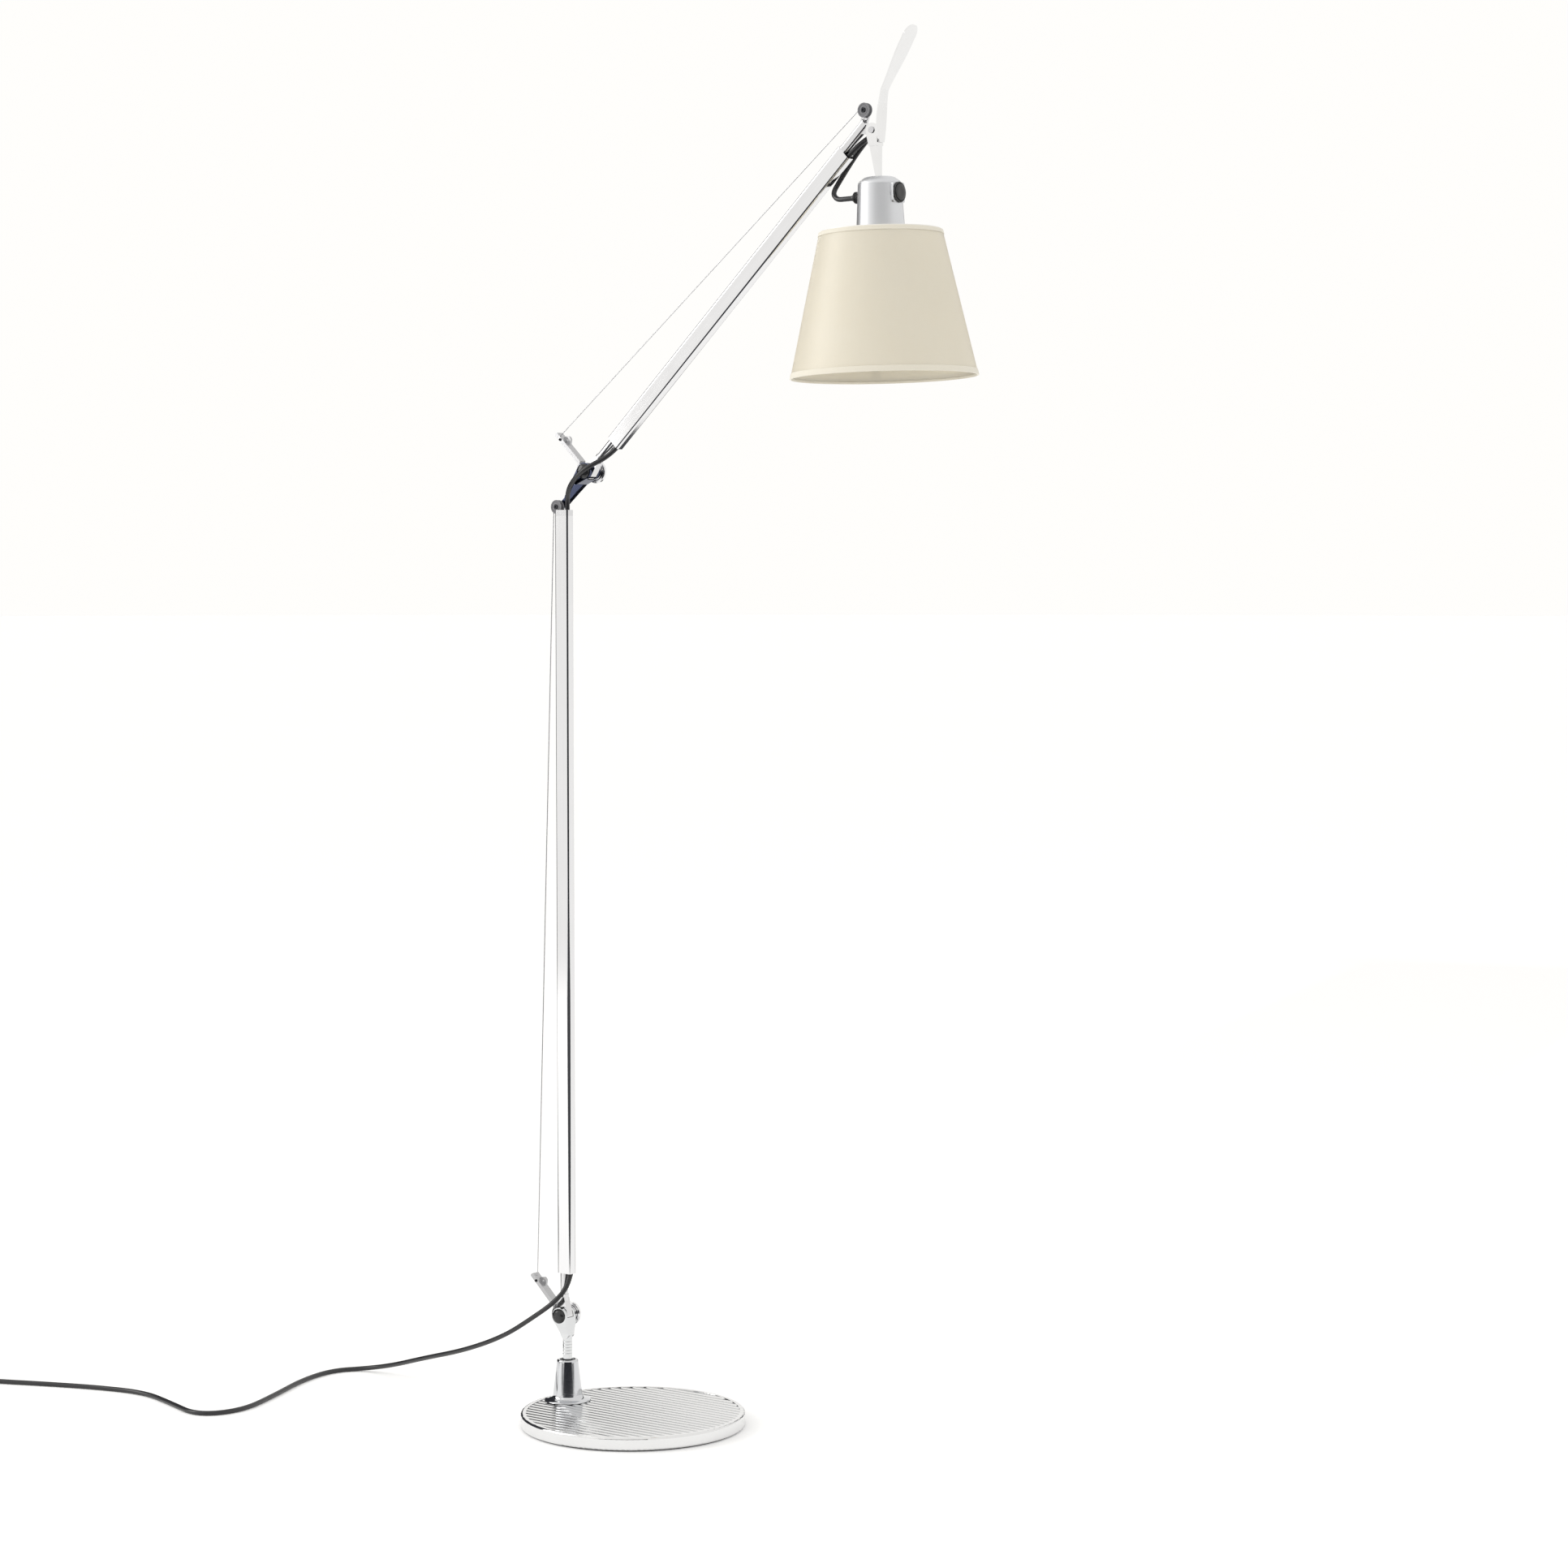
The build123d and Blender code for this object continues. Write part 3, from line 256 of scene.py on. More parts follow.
@dataclass(frozen=True)
class RibbedPlate:
    """Polished plate with straight ribs along X: bright hollows, with painted shade in the colour, a fine
    dark line at each rib.
    """

    name: str
    bright: tuple[float, float, float]
    dark: tuple[float, float, float]
    pitch: float = 0.0083
    field: float = 0.1095

    def material(self) -> bpy.types.Material:
        """Builds the material."""
        sheet = Sheet(self.name)
        place = sheet.place()
        beside = sheet.node("ShaderNodeSeparateXYZ", {}, {"Vector": place}, "Y")
        height = sheet.node("ShaderNodeSeparateXYZ", {}, {"Vector": place}, "Z")
        out = sheet.node(
            "ShaderNodeVectorMath",
            {"operation": "LENGTH"},
            {0: sheet.stretched((1.0, 1.0, 0.0))},
            "Value",
        )
        wave = 0.5 - (beside * (2 * math.pi / self.pitch) + math.pi / 2).sine() * 0.5
        # Painted shade: ribs marks a fine dark line at each rib on the top face, and the dark colour is
        # painted there.
        ribs = (wave**9.0) * ((self.field - out) * 3000.0).clamped() * ((height - 0.0135) * 3000.0).clamped()
        lines = sheet.noise(sheet.stretched((9.0, 700.0, 700.0)), 1.0, 4.0, 0.6)
        haze = sheet.noise(place, 18.0, 3.0)
        # tone mixes the painted rib shade with drawn lines and random haze.
        tone = (ribs * 0.8 + lines * 0.15 + haze * 0.12).clamped()
        sheet.finish(
            {
                "Base Color": sheet.blend(tone, self.bright, self.dark),
                "Metallic": 1.0,
                "Roughness": (0.07 + ribs * 0.2 + (lines - 0.5) * 0.05 + haze * 0.04).clamped(),
                "Normal": sheet.relief(wave**3.0 + lines * 0.02, 0.0003, 0.6),
            }
        )
        return sheet.material


@dataclass(frozen=True)
class Moulded:
    """Moulded plastic or rubber, with a fine grain and a little dust in it."""

    name: str
    colour: tuple[float, float, float]
    roughness: float = 0.25
    grain: float = 900.0
    depth: float = 0.00002
    dust: float = 0.12

    def material(self) -> bpy.types.Material:
        """Builds the material."""
        sheet = Sheet(self.name)
        fine = sheet.noise(sheet.place(), self.grain, 2.0)
        cloud = sheet.noise(sheet.place(), 45.0, 3.0)
        light = tuple(min(1.0, c + self.dust * 0.1) for c in self.colour)
        sheet.finish(
            {
                "Base Color": sheet.blend((cloud * fine * 2.0).clamped(), self.colour, light),
                "Roughness": (self.roughness + (cloud - 0.5) * 0.12 + fine * 0.04).clamped(),
                "Specular IOR Level": 0.5,
                "Normal": sheet.relief(fine, self.depth),
            }
        )
        return sheet.material


@dataclass(frozen=True)
class Lacquer:
    """Sprayed lacquer over metal, with faint orange peel."""

    name: str
    colour: tuple[float, float, float]
    roughness: float = 0.3

    def material(self) -> bpy.types.Material:
        """Builds the material."""
        sheet = Sheet(self.name)
        peel = sheet.noise(sheet.place(), 420.0, 1.0)
        cloud = sheet.noise(sheet.place(), 30.0, 3.0)
        darker = tuple(c * 0.95 for c in self.colour)
        sheet.finish(
            {
                "Base Color": sheet.blend(cloud, darker, self.colour),
                "Roughness": (self.roughness + (cloud - 0.5) * 0.1).clamped(),
                "Coat Weight": 0.4,
                "Coat Roughness": 0.1,
                "Normal": sheet.relief(peel, 0.00002),
            }
        )
        return sheet.material


@dataclass(frozen=True)
class Parchment:
    """Paper-backed parchment: long fibres, soft clouds and light that comes through."""

    name: str
    pale: tuple[float, float, float]
    warm: tuple[float, float, float]
    passing: float = 0.35

    def material(self) -> bpy.types.Material:
        """Builds the material."""
        sheet = Sheet(self.name)
        fibres = sheet.noise(sheet.stretched((240.0, 240.0, 40.0)), 1.0, 6.0, 0.7)
        cross = sheet.noise(sheet.stretched((90.0, 90.0, 700.0)), 1.0, 5.0, 0.7)
        cloud = sheet.noise(sheet.place(), 14.0, 4.0, 0.6)
        share = (fibres * 0.3 + cross * 0.25 + cloud * 0.45).clamped()
        skin = sheet.node(
            "ShaderNodeBsdfPrincipled",
            {},
            {
                "Base Color": sheet.blend(share, self.warm, self.pale),
                "Roughness": (0.46 + (fibres - 0.5) * 0.16).clamped(),
                "Specular IOR Level": 0.55,
                "Coat Weight": 0.35,
                "Coat Roughness": 0.38,
                "Normal": sheet.relief(fibres + cross * 0.6, 0.00008),
            },
        )
        glow = sheet.node("ShaderNodeBsdfTranslucent", {}, {"Color": (*self.warm, 1.0)})
        sheet.output(sheet.node("ShaderNodeMixShader", {}, {0: self.passing, 1: skin, 2: glow}))
        return sheet.material


@dataclass(frozen=True)
class Tape:
    """Narrow ribbed binding tape."""

    name: str
    pale: tuple[float, float, float]
    warm: tuple[float, float, float]

    def material(self) -> bpy.types.Material:
        """Builds the material."""
        sheet = Sheet(self.name)
        height = sheet.node("ShaderNodeSeparateXYZ", {}, {"Vector": sheet.place()}, "Z")
        ribs = (height * (2 * math.pi / 0.0008)).sine() * 0.5 + 0.5
        threads = sheet.noise(sheet.place(), 1500.0, 2.0)
        sheet.finish(
            {
                "Base Color": sheet.blend((ribs * 0.6 + threads * 0.4).clamped(), self.warm, self.pale),
                "Roughness": (0.7 + threads * 0.15).clamped(),
                "Sheen Weight": 0.3,
                "Normal": sheet.relief(ribs + threads * 0.5, 0.00012),
            }
        )
        return sheet.material


@dataclass(frozen=True)
class OpalGlass:
    """Opal glass of an unlit bulb."""

    name: str
    colour: tuple[float, float, float]

    def material(self) -> bpy.types.Material:
        """Builds the material."""
        sheet = Sheet(self.name)
        cloud = sheet.noise(sheet.place(), 60.0, 2.0)
        warm = tuple(c * f for c, f in zip(self.colour, (1.0, 0.98, 0.94)))
        skin = sheet.node(
            "ShaderNodeBsdfPrincipled",
            {},
            {
                "Base Color": sheet.blend(cloud, warm, self.colour),
                "Roughness": (0.12 + cloud * 0.05).clamped(),
                "Coat Weight": 0.6,
                "Coat Roughness": 0.04,
            },
        )
        glow = sheet.node("ShaderNodeBsdfTranslucent", {}, {"Color": (*warm, 1.0)})
        sheet.output(sheet.node("ShaderNodeMixShader", {}, {0: 0.3, 1: skin, 2: glow}))
        return sheet.material


class Finish(Enum):
    """The lamp's finishes, each with the frame's material slot that it belongs to."""

    # The second colour is the painted shade of the dark line at each rib.
    RIBBED = ("cover_aluminium", RibbedPlate("ribbed_plate", (0.83, 0.83, 0.83), (0.42, 0.43, 0.44)))
    CHROME = ("cone_chrome", Metal("polished_plate", (0.66, 0.67, 0.69), 0.05, 0.03, (90.0, 90.0, 900.0)))
    STEM = (
        "stem_steel",
        Metal("bright_steel", (0.72, 0.73, 0.74), 0.06, 0.04, (90.0, 90.0, 900.0), depth=0.000003),
    )
    ARM = (
        "polished_aluminium",
        Metal("drawn_aluminium", (0.84, 0.84, 0.85), 0.06, 0.05, (500.0, 500.0, 6.0), depth=0.000002),
    )
    SLOPING_ARM = (
        "polished_aluminium",
        Metal(
            "drawn_aluminium_sloping",
            (0.84, 0.84, 0.85), 0.06, 0.05, (500.0, 500.0, 6.0), (0.0, math.radians(-UPPER_LEAN), 0.0),
            0.000002,
        ),
    )
    KNOB = (
        "polished_aluminium",
        Metal("turned_aluminium", (0.86, 0.86, 0.87), 0.1, 0.06, (300.0, 900.0, 300.0)),
    )
    CAST = (
        "cast_aluminium",
        Metal("tumbled_casting", (0.5, 0.5, 0.51), 0.26, 0.2, even(260.0), depth=0.00006),
    )
    BRIGHT_CAST = (
        "cast_aluminium",
        Metal("polished_casting", (0.74, 0.74, 0.75), 0.08, 0.06, even(120.0), depth=0.00001),
    )
    # Painted reflection: the elbow link's cast aluminium is given a near-black blue colour that stands in
    # for a dark reflection.
    LINK = (
        "cast_aluminium",
        Metal("dark_polished_casting", (0.055, 0.065, 0.11), 0.16, 0.08, even(120.0), depth=0.00001),
    )
    STEEL = ("fixing_steel", Metal("plain_steel", (0.45, 0.45, 0.46), 0.3, 0.1, even(200.0)))
    BLACK_STEEL = ("black_screw", Metal("blackened_steel", (0.035, 0.036, 0.04), 0.35, 0.1, even(300.0)))
    WIRE = ("wire_steel", Metal("bright_wire", (0.7, 0.7, 0.71), 0.25, 0.1, even(900.0)))
    SPRING = ("spring_steel", Metal("oiled_spring", (0.4, 0.4, 0.41), 0.3, 0.1, even(900.0)))
    HOLDER = (
        "cap_aluminium",
        Metal("satin_aluminium", (0.72, 0.73, 0.75), 0.38, 0.06, (220.0, 220.0, 1400.0), depth=0.00002),
    )
    IRON = ("weight_iron", Metal("cast_iron", (0.2, 0.2, 0.21), 0.6, 0.1, even(120.0), depth=0.0001))
    BRASS = ("shell_brass", Metal("bright_brass", (0.78, 0.62, 0.32), 0.2, 0.1, even(200.0)))
    BULB_METAL = ("bulb_metal", Metal("bulb_metal", (0.75, 0.75, 0.76), 0.25, 0.1, even(200.0)))
    PIN = ("pin_metal", Metal("nickelled_pin", (0.78, 0.75, 0.68), 0.18, 0.1, even(400.0)))
    GLOSS = ("black_gloss", Moulded("gloss_black", (0.012, 0.012, 0.013), 0.16, 1200.0, 0.000004))
    NYLON = ("grey_nylon", Moulded("grey_nylon", (0.15, 0.15, 0.16), 0.3, 700.0, 0.00001))
    BUSH = ("bush_plastic", Moulded("matt_black", (0.03, 0.03, 0.03), 0.5))
    SOCKET = ("socket_plastic", Moulded("socket_black", (0.035, 0.034, 0.033), 0.4))
    FIBRE = ("washer_fibre", Moulded("washer_fibre", (0.62, 0.6, 0.55), 0.6))
    PAD = ("pad_rubber", Moulded("pad_rubber", (0.02, 0.02, 0.02), 0.75, 500.0, 0.0001))
    CORD = ("cord_black", Moulded("cord_sheath", (0.014, 0.014, 0.016), 0.28, 1500.0, 0.00001))
    PLUG = ("plug_black", Moulded("plug_black", (0.018, 0.018, 0.019), 0.35, 900.0, 0.00003))
    STRIP = (
        "white_strip",
        Metal("pale_polished_strip", (0.87, 0.87, 0.87), 0.09, 0.06, (200.0, 200.0, 40.0), depth=0.000003),
    )
    RING = ("ring_white", Lacquer("ring_lacquer", (0.88, 0.87, 0.84), 0.4))
    SHADE = ("shade_parchment", Parchment("shade_parchment", (0.91, 0.88, 0.79), (0.84, 0.785, 0.65)))
    TAPE = ("binding_tape", Tape("binding_tape", (0.83, 0.795, 0.69), (0.68, 0.63, 0.52)))
    OPAL = ("bulb_opal", OpalGlass("opal_glass", (0.93, 0.93, 0.92)))

    @property
    def slot(self) -> str:
        """The frame's material slot."""
        return self.value[0]

    def material(self) -> bpy.types.Material:
        """The finish's material, built once."""
        kept = bpy.data.materials.get(LOOK + self.value[1].name)
        return kept or self.value[1].material()


# ------------------------------------------------------------------ mesh work


@dataclass(frozen=True)
class Link:
    """A straight link of the lamp that turns in the XZ plane: its pivot, and its lean from upright."""

    pivot: tuple[float, float]
    lean: float = 0.0

    def matrix(self, across: float = 0.0, along: float = 0.0) -> Matrix:
        """Local x across the link, y to the far side and z along it, from a point of the link, in mm."""
        base = Matrix.Translation((self.pivot[0] * MM, 0.0, self.pivot[1] * MM))
        turn = Matrix.Rotation(math.radians(self.lean), 4, "Y")
        return base @ turn @ Matrix.Translation((across * MM, 0.0, along * MM))

    def point(self, across: float, y: float, along: float) -> Vector:
        """World point of a point given across, beside and along the link, in mm."""
        return self.matrix() @ Vector((across * MM, y * MM, along * MM))


FAR_SIDE = Matrix.Rotation(math.radians(-90.0), 4, "X")
FORWARD = Matrix.Rotation(math.radians(90.0), 4, "Y")


def keep_mesh(name: str, shape: bmesh.types.BMesh, finish: Finish, crease: float = 35.0) -> bpy.types.Object:
    """Makes a finished piece of a bmesh, with smooth faces and sharp creases.

    Args:
        name: the piece's name.
        shape: the bmesh, already in place; it is freed.
        finish: its material.
        crease: edges that turn by more than these degrees stay sharp.

    Returns:
        The piece, at the origin.
    """
    mesh = bpy.data.meshes.new(name)
    shape.to_mesh(mesh)
    shape.free()
    mesh.polygons.foreach_set("use_smooth", [True] * len(mesh.polygons))
    mesh.set_sharp_from_angle(angle=math.radians(crease))
    mesh.materials.append(finish.material())
    piece = bpy.data.objects.new(name, mesh)
    bpy.context.scene.collection.objects.link(piece)
    return piece


def softened(piece: bpy.types.Object, width: float, segments: int = 2) -> bpy.types.Object:
    """Rounds the sharp edges of a piece with a live bevel; width is in mm."""
    bevel = piece.modifiers.new("rounded_edges", "BEVEL")
    bevel.width = width * MM
    bevel.segments = segments
    bevel.limit_method = "ANGLE"
    bevel.angle_limit = math.radians(32.0)
    bevel.harden_normals = False
    bevel.use_clamp_overlap = True
    return piece


def lathe(
    name: str,
    outline: Sequence[tuple[float, float]],
    place: Matrix,
    finish: Finish,
    steps: int = 72,
    edge: float = 0.0,
) -> bpy.types.Object:
    """Turns a closed outline about the local z axis.

    Args:
        name: the piece's name.
        outline: (radius, height) points in mm, in order round the section.
        place: where the local axes stand in the frame.
        finish: its material.
        steps: faces round the axis.
        edge: radius of its rounded edges in mm, or 0.

    Returns:
        The piece, at the origin.
    """
    shape = bmesh.new()
    corners = [shape.verts.new((radius * MM, 0.0, height * MM)) for radius, height in outline]
    for here, there in zip(corners, corners[1:] + corners[:1]):
        if here.co.x > 0.0 or there.co.x > 0.0:
            shape.edges.new((here, there))
    bmesh.ops.spin(
        shape,
        geom=shape.verts[:] + shape.edges[:],
        cent=(0, 0, 0),
        axis=(0, 0, 1),
        angle=2 * math.pi,
        steps=steps,
        use_merge=True,
        use_duplicate=False,
    )
    bmesh.ops.remove_doubles(shape, verts=shape.verts, dist=1e-7)
    bmesh.ops.recalc_face_normals(shape, faces=shape.faces)
    shape.transform(place)
    piece = keep_mesh(name, shape, finish)
    return softened(piece, edge) if edge else piece


def block(
    shape: bmesh.types.BMesh, size: Sequence[float], place: Matrix, rounding: float = 0.0, segments: int = 4
) -> None:
    """Adds a box to a bmesh, its long edges rounded.

    Args:
        shape: the bmesh that gets it.
        size: its three sides in mm.
        place: where its centre and axes stand.
        rounding: radius of the edges along its local z, in mm.
        segments: faces of each rounded edge.
    """
    part = bmesh.new()
    bmesh.ops.create_cube(part, size=1.0, matrix=Matrix.Diagonal((*[s * MM for s in size], 1.0)))
    if rounding:
        upright = [e for e in part.edges if abs((e.verts[0].co - e.verts[1].co).normalized().z) > 0.9]
        bmesh.ops.bevel(
            part,
            geom=upright,
            offset=rounding * MM,
            affect="EDGES",
            segments=segments,
            profile=0.5,
            material=-1,
            offset_type="OFFSET",
        )
    part.transform(place)
    held = bpy.data.meshes.new("part")
    part.to_mesh(held)
    part.free()
    shape.from_mesh(held)
    bpy.data.meshes.remove(held)


def dress(finish: Finish, *nodes: str) -> None:
    """Gives CAD nodes a finish."""
    for name in nodes:
        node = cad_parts[name]
        for holder in node.material_slots:
            holder.material = finish.material()
        LOG.info("dressed %s in %s", name, finish.value[1].name)


def riding(piece: bpy.types.Object, body: str, *nodes: str) -> bpy.types.Object:
    """Rides a piece on a body, standing for CAD nodes, and reports it."""
    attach(piece, body)
    if nodes:
        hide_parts(*nodes)
    LOG.info("made %s on %s, %d faces", piece.name, body, len(piece.data.polygons))
    return piece


# ------------------------------------------------------------------ lines


def smooth_line(points: Sequence[Vector], resolution: int = 10) -> list[Vector]:
    """Points of the NURBS spline that has the route's points as its control points.

    Args:
        points: the route's control points, in metres.
        resolution: points made between two control points.

    Returns:
        The line's points in order.
    """
    curve = bpy.data.curves.new("route", "CURVE")
    curve.dimensions = "3D"
    curve.resolution_u = resolution
    spline = curve.splines.new("NURBS")
    spline.points.add(len(points) - 1)
    for held, point in zip(spline.points, points):
        held.co = (*point, 1.0)
    spline.order_u = 3
    spline.use_endpoint_u = True
    holder = bpy.data.objects.new("route", curve)
    bpy.context.scene.collection.objects.link(holder)
    bpy.context.view_layer.update()
    mesh = bpy.data.meshes.new_from_object(holder.evaluated_get(bpy.context.evaluated_depsgraph_get()))
    line = [v.co.copy() for v in mesh.vertices]
    bpy.data.meshes.remove(mesh)
    bpy.data.objects.remove(holder)
    bpy.data.curves.remove(curve)
    return line


def tube(
    name: str, line: Sequence[Vector], finish: Finish, radius: float,
    sides: int = 3, radii: Sequence[float] = (),
) -> bpy.types.Object:
    """Round mesh tube along a line.

    Args:
        name: the piece's name.
        line: points that it follows, in metres.
        finish: its material.
        radius: its radius in mm.
        sides: the curve's bevel resolution.
        radii: the share of the radius at each point, for a taper.

    Returns:
        The tube, at the origin.
    """
    curve = bpy.data.curves.new(name, "CURVE")
    curve.dimensions = "3D"
    curve.bevel_depth = radius * MM
    curve.bevel_resolution = sides
    curve.use_fill_caps = True
    spline = curve.splines.new("POLY")
    spline.points.add(len(line) - 1)
    for index, (held, point) in enumerate(zip(spline.points, line)):
        held.co = (*point, 1.0)
        held.radius = radii[index] if radii else 1.0
    holder = bpy.data.objects.new(name + "_line", curve)
    bpy.context.scene.collection.objects.link(holder)
    bpy.context.view_layer.update()
    mesh = bpy.data.meshes.new_from_object(holder.evaluated_get(bpy.context.evaluated_depsgraph_get()))
    bpy.data.objects.remove(holder)
    bpy.data.curves.remove(curve)
    shape = bmesh.new()
    shape.from_mesh(mesh)
    bpy.data.meshes.remove(mesh)
    bmesh.ops.remove_doubles(shape, verts=shape.verts, dist=1e-7)
    bmesh.ops.recalc_face_normals(shape, faces=shape.faces)
    return keep_mesh(name, shape, finish, 60.0)


def run_length(line: Sequence[Vector]) -> float:
    """Length of a line of points, in metres."""
    return sum((b - a).length for a, b in zip(line, line[1:]))


def nearest(line: Sequence[Vector], point: Vector) -> int:
    """Number of the line's point that is nearest to a point."""
    return min(range(len(line)), key=lambda i: (line[i] - point).length)


def in_metres(points: Iterable[Sequence[float]]) -> list[Vector]:
    """Route points from millimetres to metres."""
    return [Vector(p) * MM for p in points]


# ------------------------------------------------------------------ the lamp's measures

LOWER = Link((-91.6, 102.6))
ELBOW = Link((-54.7, 974.0))
UPPER = Link(ELBOW.pivot, UPPER_LEAN)
HEAD = Link((299.5, 1292.5), -1.8)
STEM_X = -87.0
LOWER_WHEEL = (-4.8, 835.7)
UPPER_WHEEL = (-8.8, 481.6)


@dataclass(frozen=True)
class Card:
    """Dark card that stands round the lamp.

    It stands at an azimuth and a distance from the lamp's middle, spans a half angle each way and has a
    height. foot is the share of its width that lies on the floor in front of it.
    """

    name: str
    azimuth: float
    half_angle: float
    distance: float
    height: float
    foot: float


@dataclass
class Studio:
    """Camera, floor and soft light."""

    middle: tuple[float, float, float] = (0.05, 0.0, 0.8)
    clear: float = 0.7
    cards: tuple[Card, ...] = (
        Card("card_behind_camera", -46.0, 41.0, 5.2, 1.9, 0.8),
        Card("card_left", -190.0, 33.0, 3.6, 3.2, 0.4),
        Card("card_back_right", 104.0, 5.0, 4.6, 3.4, 0.8),
    )
    eye: tuple[float, float, float] = (2.3008, -2.8496, 0.8794)
    pitch: float = 86.53
    heading: float = 36.5
    lens: float = 83.1
    floor_radius: float = 60.0
    paper: tuple[float, float, float] = (0.86, 0.86, 0.86)
    glow: float = 0.16

    def camera(self) -> None:
        """Places the camera."""
        data = bpy.data.cameras.new("camera")
        data.lens = self.lens
        data.sensor_width = 36.0
        data.clip_end = 200.0
        camera = bpy.data.objects.new("camera", data)
        camera.location = self.eye
        camera.rotation_euler = (math.radians(self.pitch), 0.0, math.radians(self.heading))
        bpy.context.scene.collection.objects.link(camera)
        bpy.context.scene.camera = camera

    def floor(self) -> None:
        """Lays the pale floor."""
        shape = bmesh.new()
        bmesh.ops.create_circle(shape, cap_ends=True, radius=self.floor_radius, segments=64)
        mesh = bpy.data.meshes.new("floor")
        shape.to_mesh(mesh)
        shape.free()
        sheet = Sheet("floor_paper")
        cloud = sheet.noise(sheet.place(), 0.6, 2.0)
        pale = tuple(c * 0.985 for c in self.paper)
        sheet.finish(
            {
                "Base Color": sheet.blend(cloud, pale, self.paper),
                "Roughness": 0.8,
                "Specular IOR Level": 0.1,
                "Emission Color": (1.0, 1.0, 1.0, 1.0),
                "Emission Strength": self.glow,
            }
        )
        mesh.materials.append(sheet.material)
        floor = bpy.data.objects.new("floor", mesh)
        bpy.context.scene.collection.objects.link(floor)

    def panel(
        self, name: str, place: tuple[float, float, float], size: tuple[float, float], power: float
    ) -> None:
        """Soft rectangular light that looks at the lamp's middle.

        Args:
            name: the light's name.
            place: its centre, in metres.
            size: its two sides, in metres.
            power: its power in watts.
        """
        data = bpy.data.lights.new(name, "AREA")
        data.shape = "RECTANGLE"
        data.size, data.size_y = size
        data.energy = power
        data.color = (1.0, 0.99, 0.975)
        light = bpy.data.objects.new(name, data)
        light.location = place
        light.rotation_euler = (Vector(self.middle) - Vector(place)).to_track_quat("-Z", "Y").to_euler()
        bpy.context.scene.collection.objects.link(light)

    def card(
        self,
        name: str,
        place: tuple[float, float, float],
        size: tuple[float, float],
        heading: float,
        flat: bool = False,
    ) -> None:
        """Dark card that the bright metal mirrors.

        Args:
            name: the card's name.
            place: its centre, in metres.
            size: its width and height, in metres.
            heading: its turn about the vertical, in degrees.
            flat: whether it lies on the floor instead of standing.
        """
        shape = bmesh.new()
        bmesh.ops.create_grid(shape, x_segments=1, y_segments=1, size=0.5)
        shape.transform(
            Matrix.Translation(place)
            @ Matrix.Rotation(math.radians(heading), 4, "Z")
            @ Matrix.Rotation(0.0 if flat else math.radians(90.0), 4, "X")
            @ Matrix.Diagonal((size[0], size[1], 1.0, 1.0))
        )
        mesh = bpy.data.meshes.new(name)
        shape.to_mesh(mesh)
        shape.free()
        sheet = Sheet(name)
        grain = sheet.noise(sheet.place(), 5.0)
        tone = sheet.blend(grain, (0.012, 0.014, 0.02), (0.02, 0.022, 0.03))
        sheet.finish({"Base Color": tone, "Roughness": 0.9})
        mesh.materials.append(sheet.material)
        card = bpy.data.objects.new(name, mesh)
        bpy.context.scene.collection.objects.link(card)
        card.visible_camera = False
        card.visible_shadow = False
        card.visible_diffuse = False

    def light(self) -> None:
        """Sets the pale surround, the soft panels and the dark cards."""
        world = bpy.data.worlds.new("surround")
        world.use_nodes = True
        back = world.node_tree.nodes["Background"]
        back.inputs["Color"].default_value = (1.0, 0.99, 0.97, 1.0)
        back.inputs["Strength"].default_value = 1.0
        bpy.context.scene.world = world
        bpy.context.scene.view_settings.view_transform = "Standard"
        self.panel("key", (-2.8, -2.0, 2.2), (2.0, 2.4), 48.0)
        self.panel("fill", (-0.6, -3.4, 3.4), (1.6, 1.6), 3.0)
        for card in self.cards:
            turn = math.radians(card.azimuth)
            place = (card.distance * math.cos(turn), card.distance * math.sin(turn), card.height / 2)
            width = 2 * card.distance * math.tan(math.radians(card.half_angle))
            self.card(card.name, place, (width, card.height), card.azimuth + 90.0)
            middle = (self.clear + card.distance) / 2
            self.card(
                card.name + "_foot",
                (middle * math.cos(turn), middle * math.sin(turn), 0.002),
                (width * card.foot, card.distance - self.clear),
                card.azimuth + 90.0,
                flat=True,
            )


@dataclass
class Base:
    """Ribbed disc with its weight, pad and the polished socket cone."""

    flange: float = 24.0
    foot: float = 14.5
    top: float = 57.0

    def build(self) -> None:
        """Dresses the disc, its weight, pad and screws, and turns the cone."""
        dress(Finish.RIBBED, "base_cover")
        dress(Finish.PAD, "base_pad")
        dress(Finish.IRON, "base_weight")
        dress(Finish.STEEL, "base_screws", "socket_bolt")
        dress(Finish.BUSH, "socket_bush")
        dress(Finish.BLACK_STEEL, "socket_grub_screw")
        cone = lathe(
            "socket_cone_polished",
            [
                (8.05, self.foot + 0.02), (self.flange, self.foot + 0.02), (self.flange, 15.2),
                (23.4, 15.6), (19.6, 16.2), (17.4, 16.9), (16.0, 18.2), (15.3, 19.9), (15.18, 21.0),
                (11.22, self.top - 2.3), (11.1, self.top - 1.2), (10.7, self.top - 0.3), (10.2, self.top),
                (8.05, self.top),
            ],
            Matrix.Translation((STEM_X * MM, 0.0, 0.0)),
            Finish.CHROME,
            128,
            0.25,
        )
        riding(cone, "base", "socket_cone")


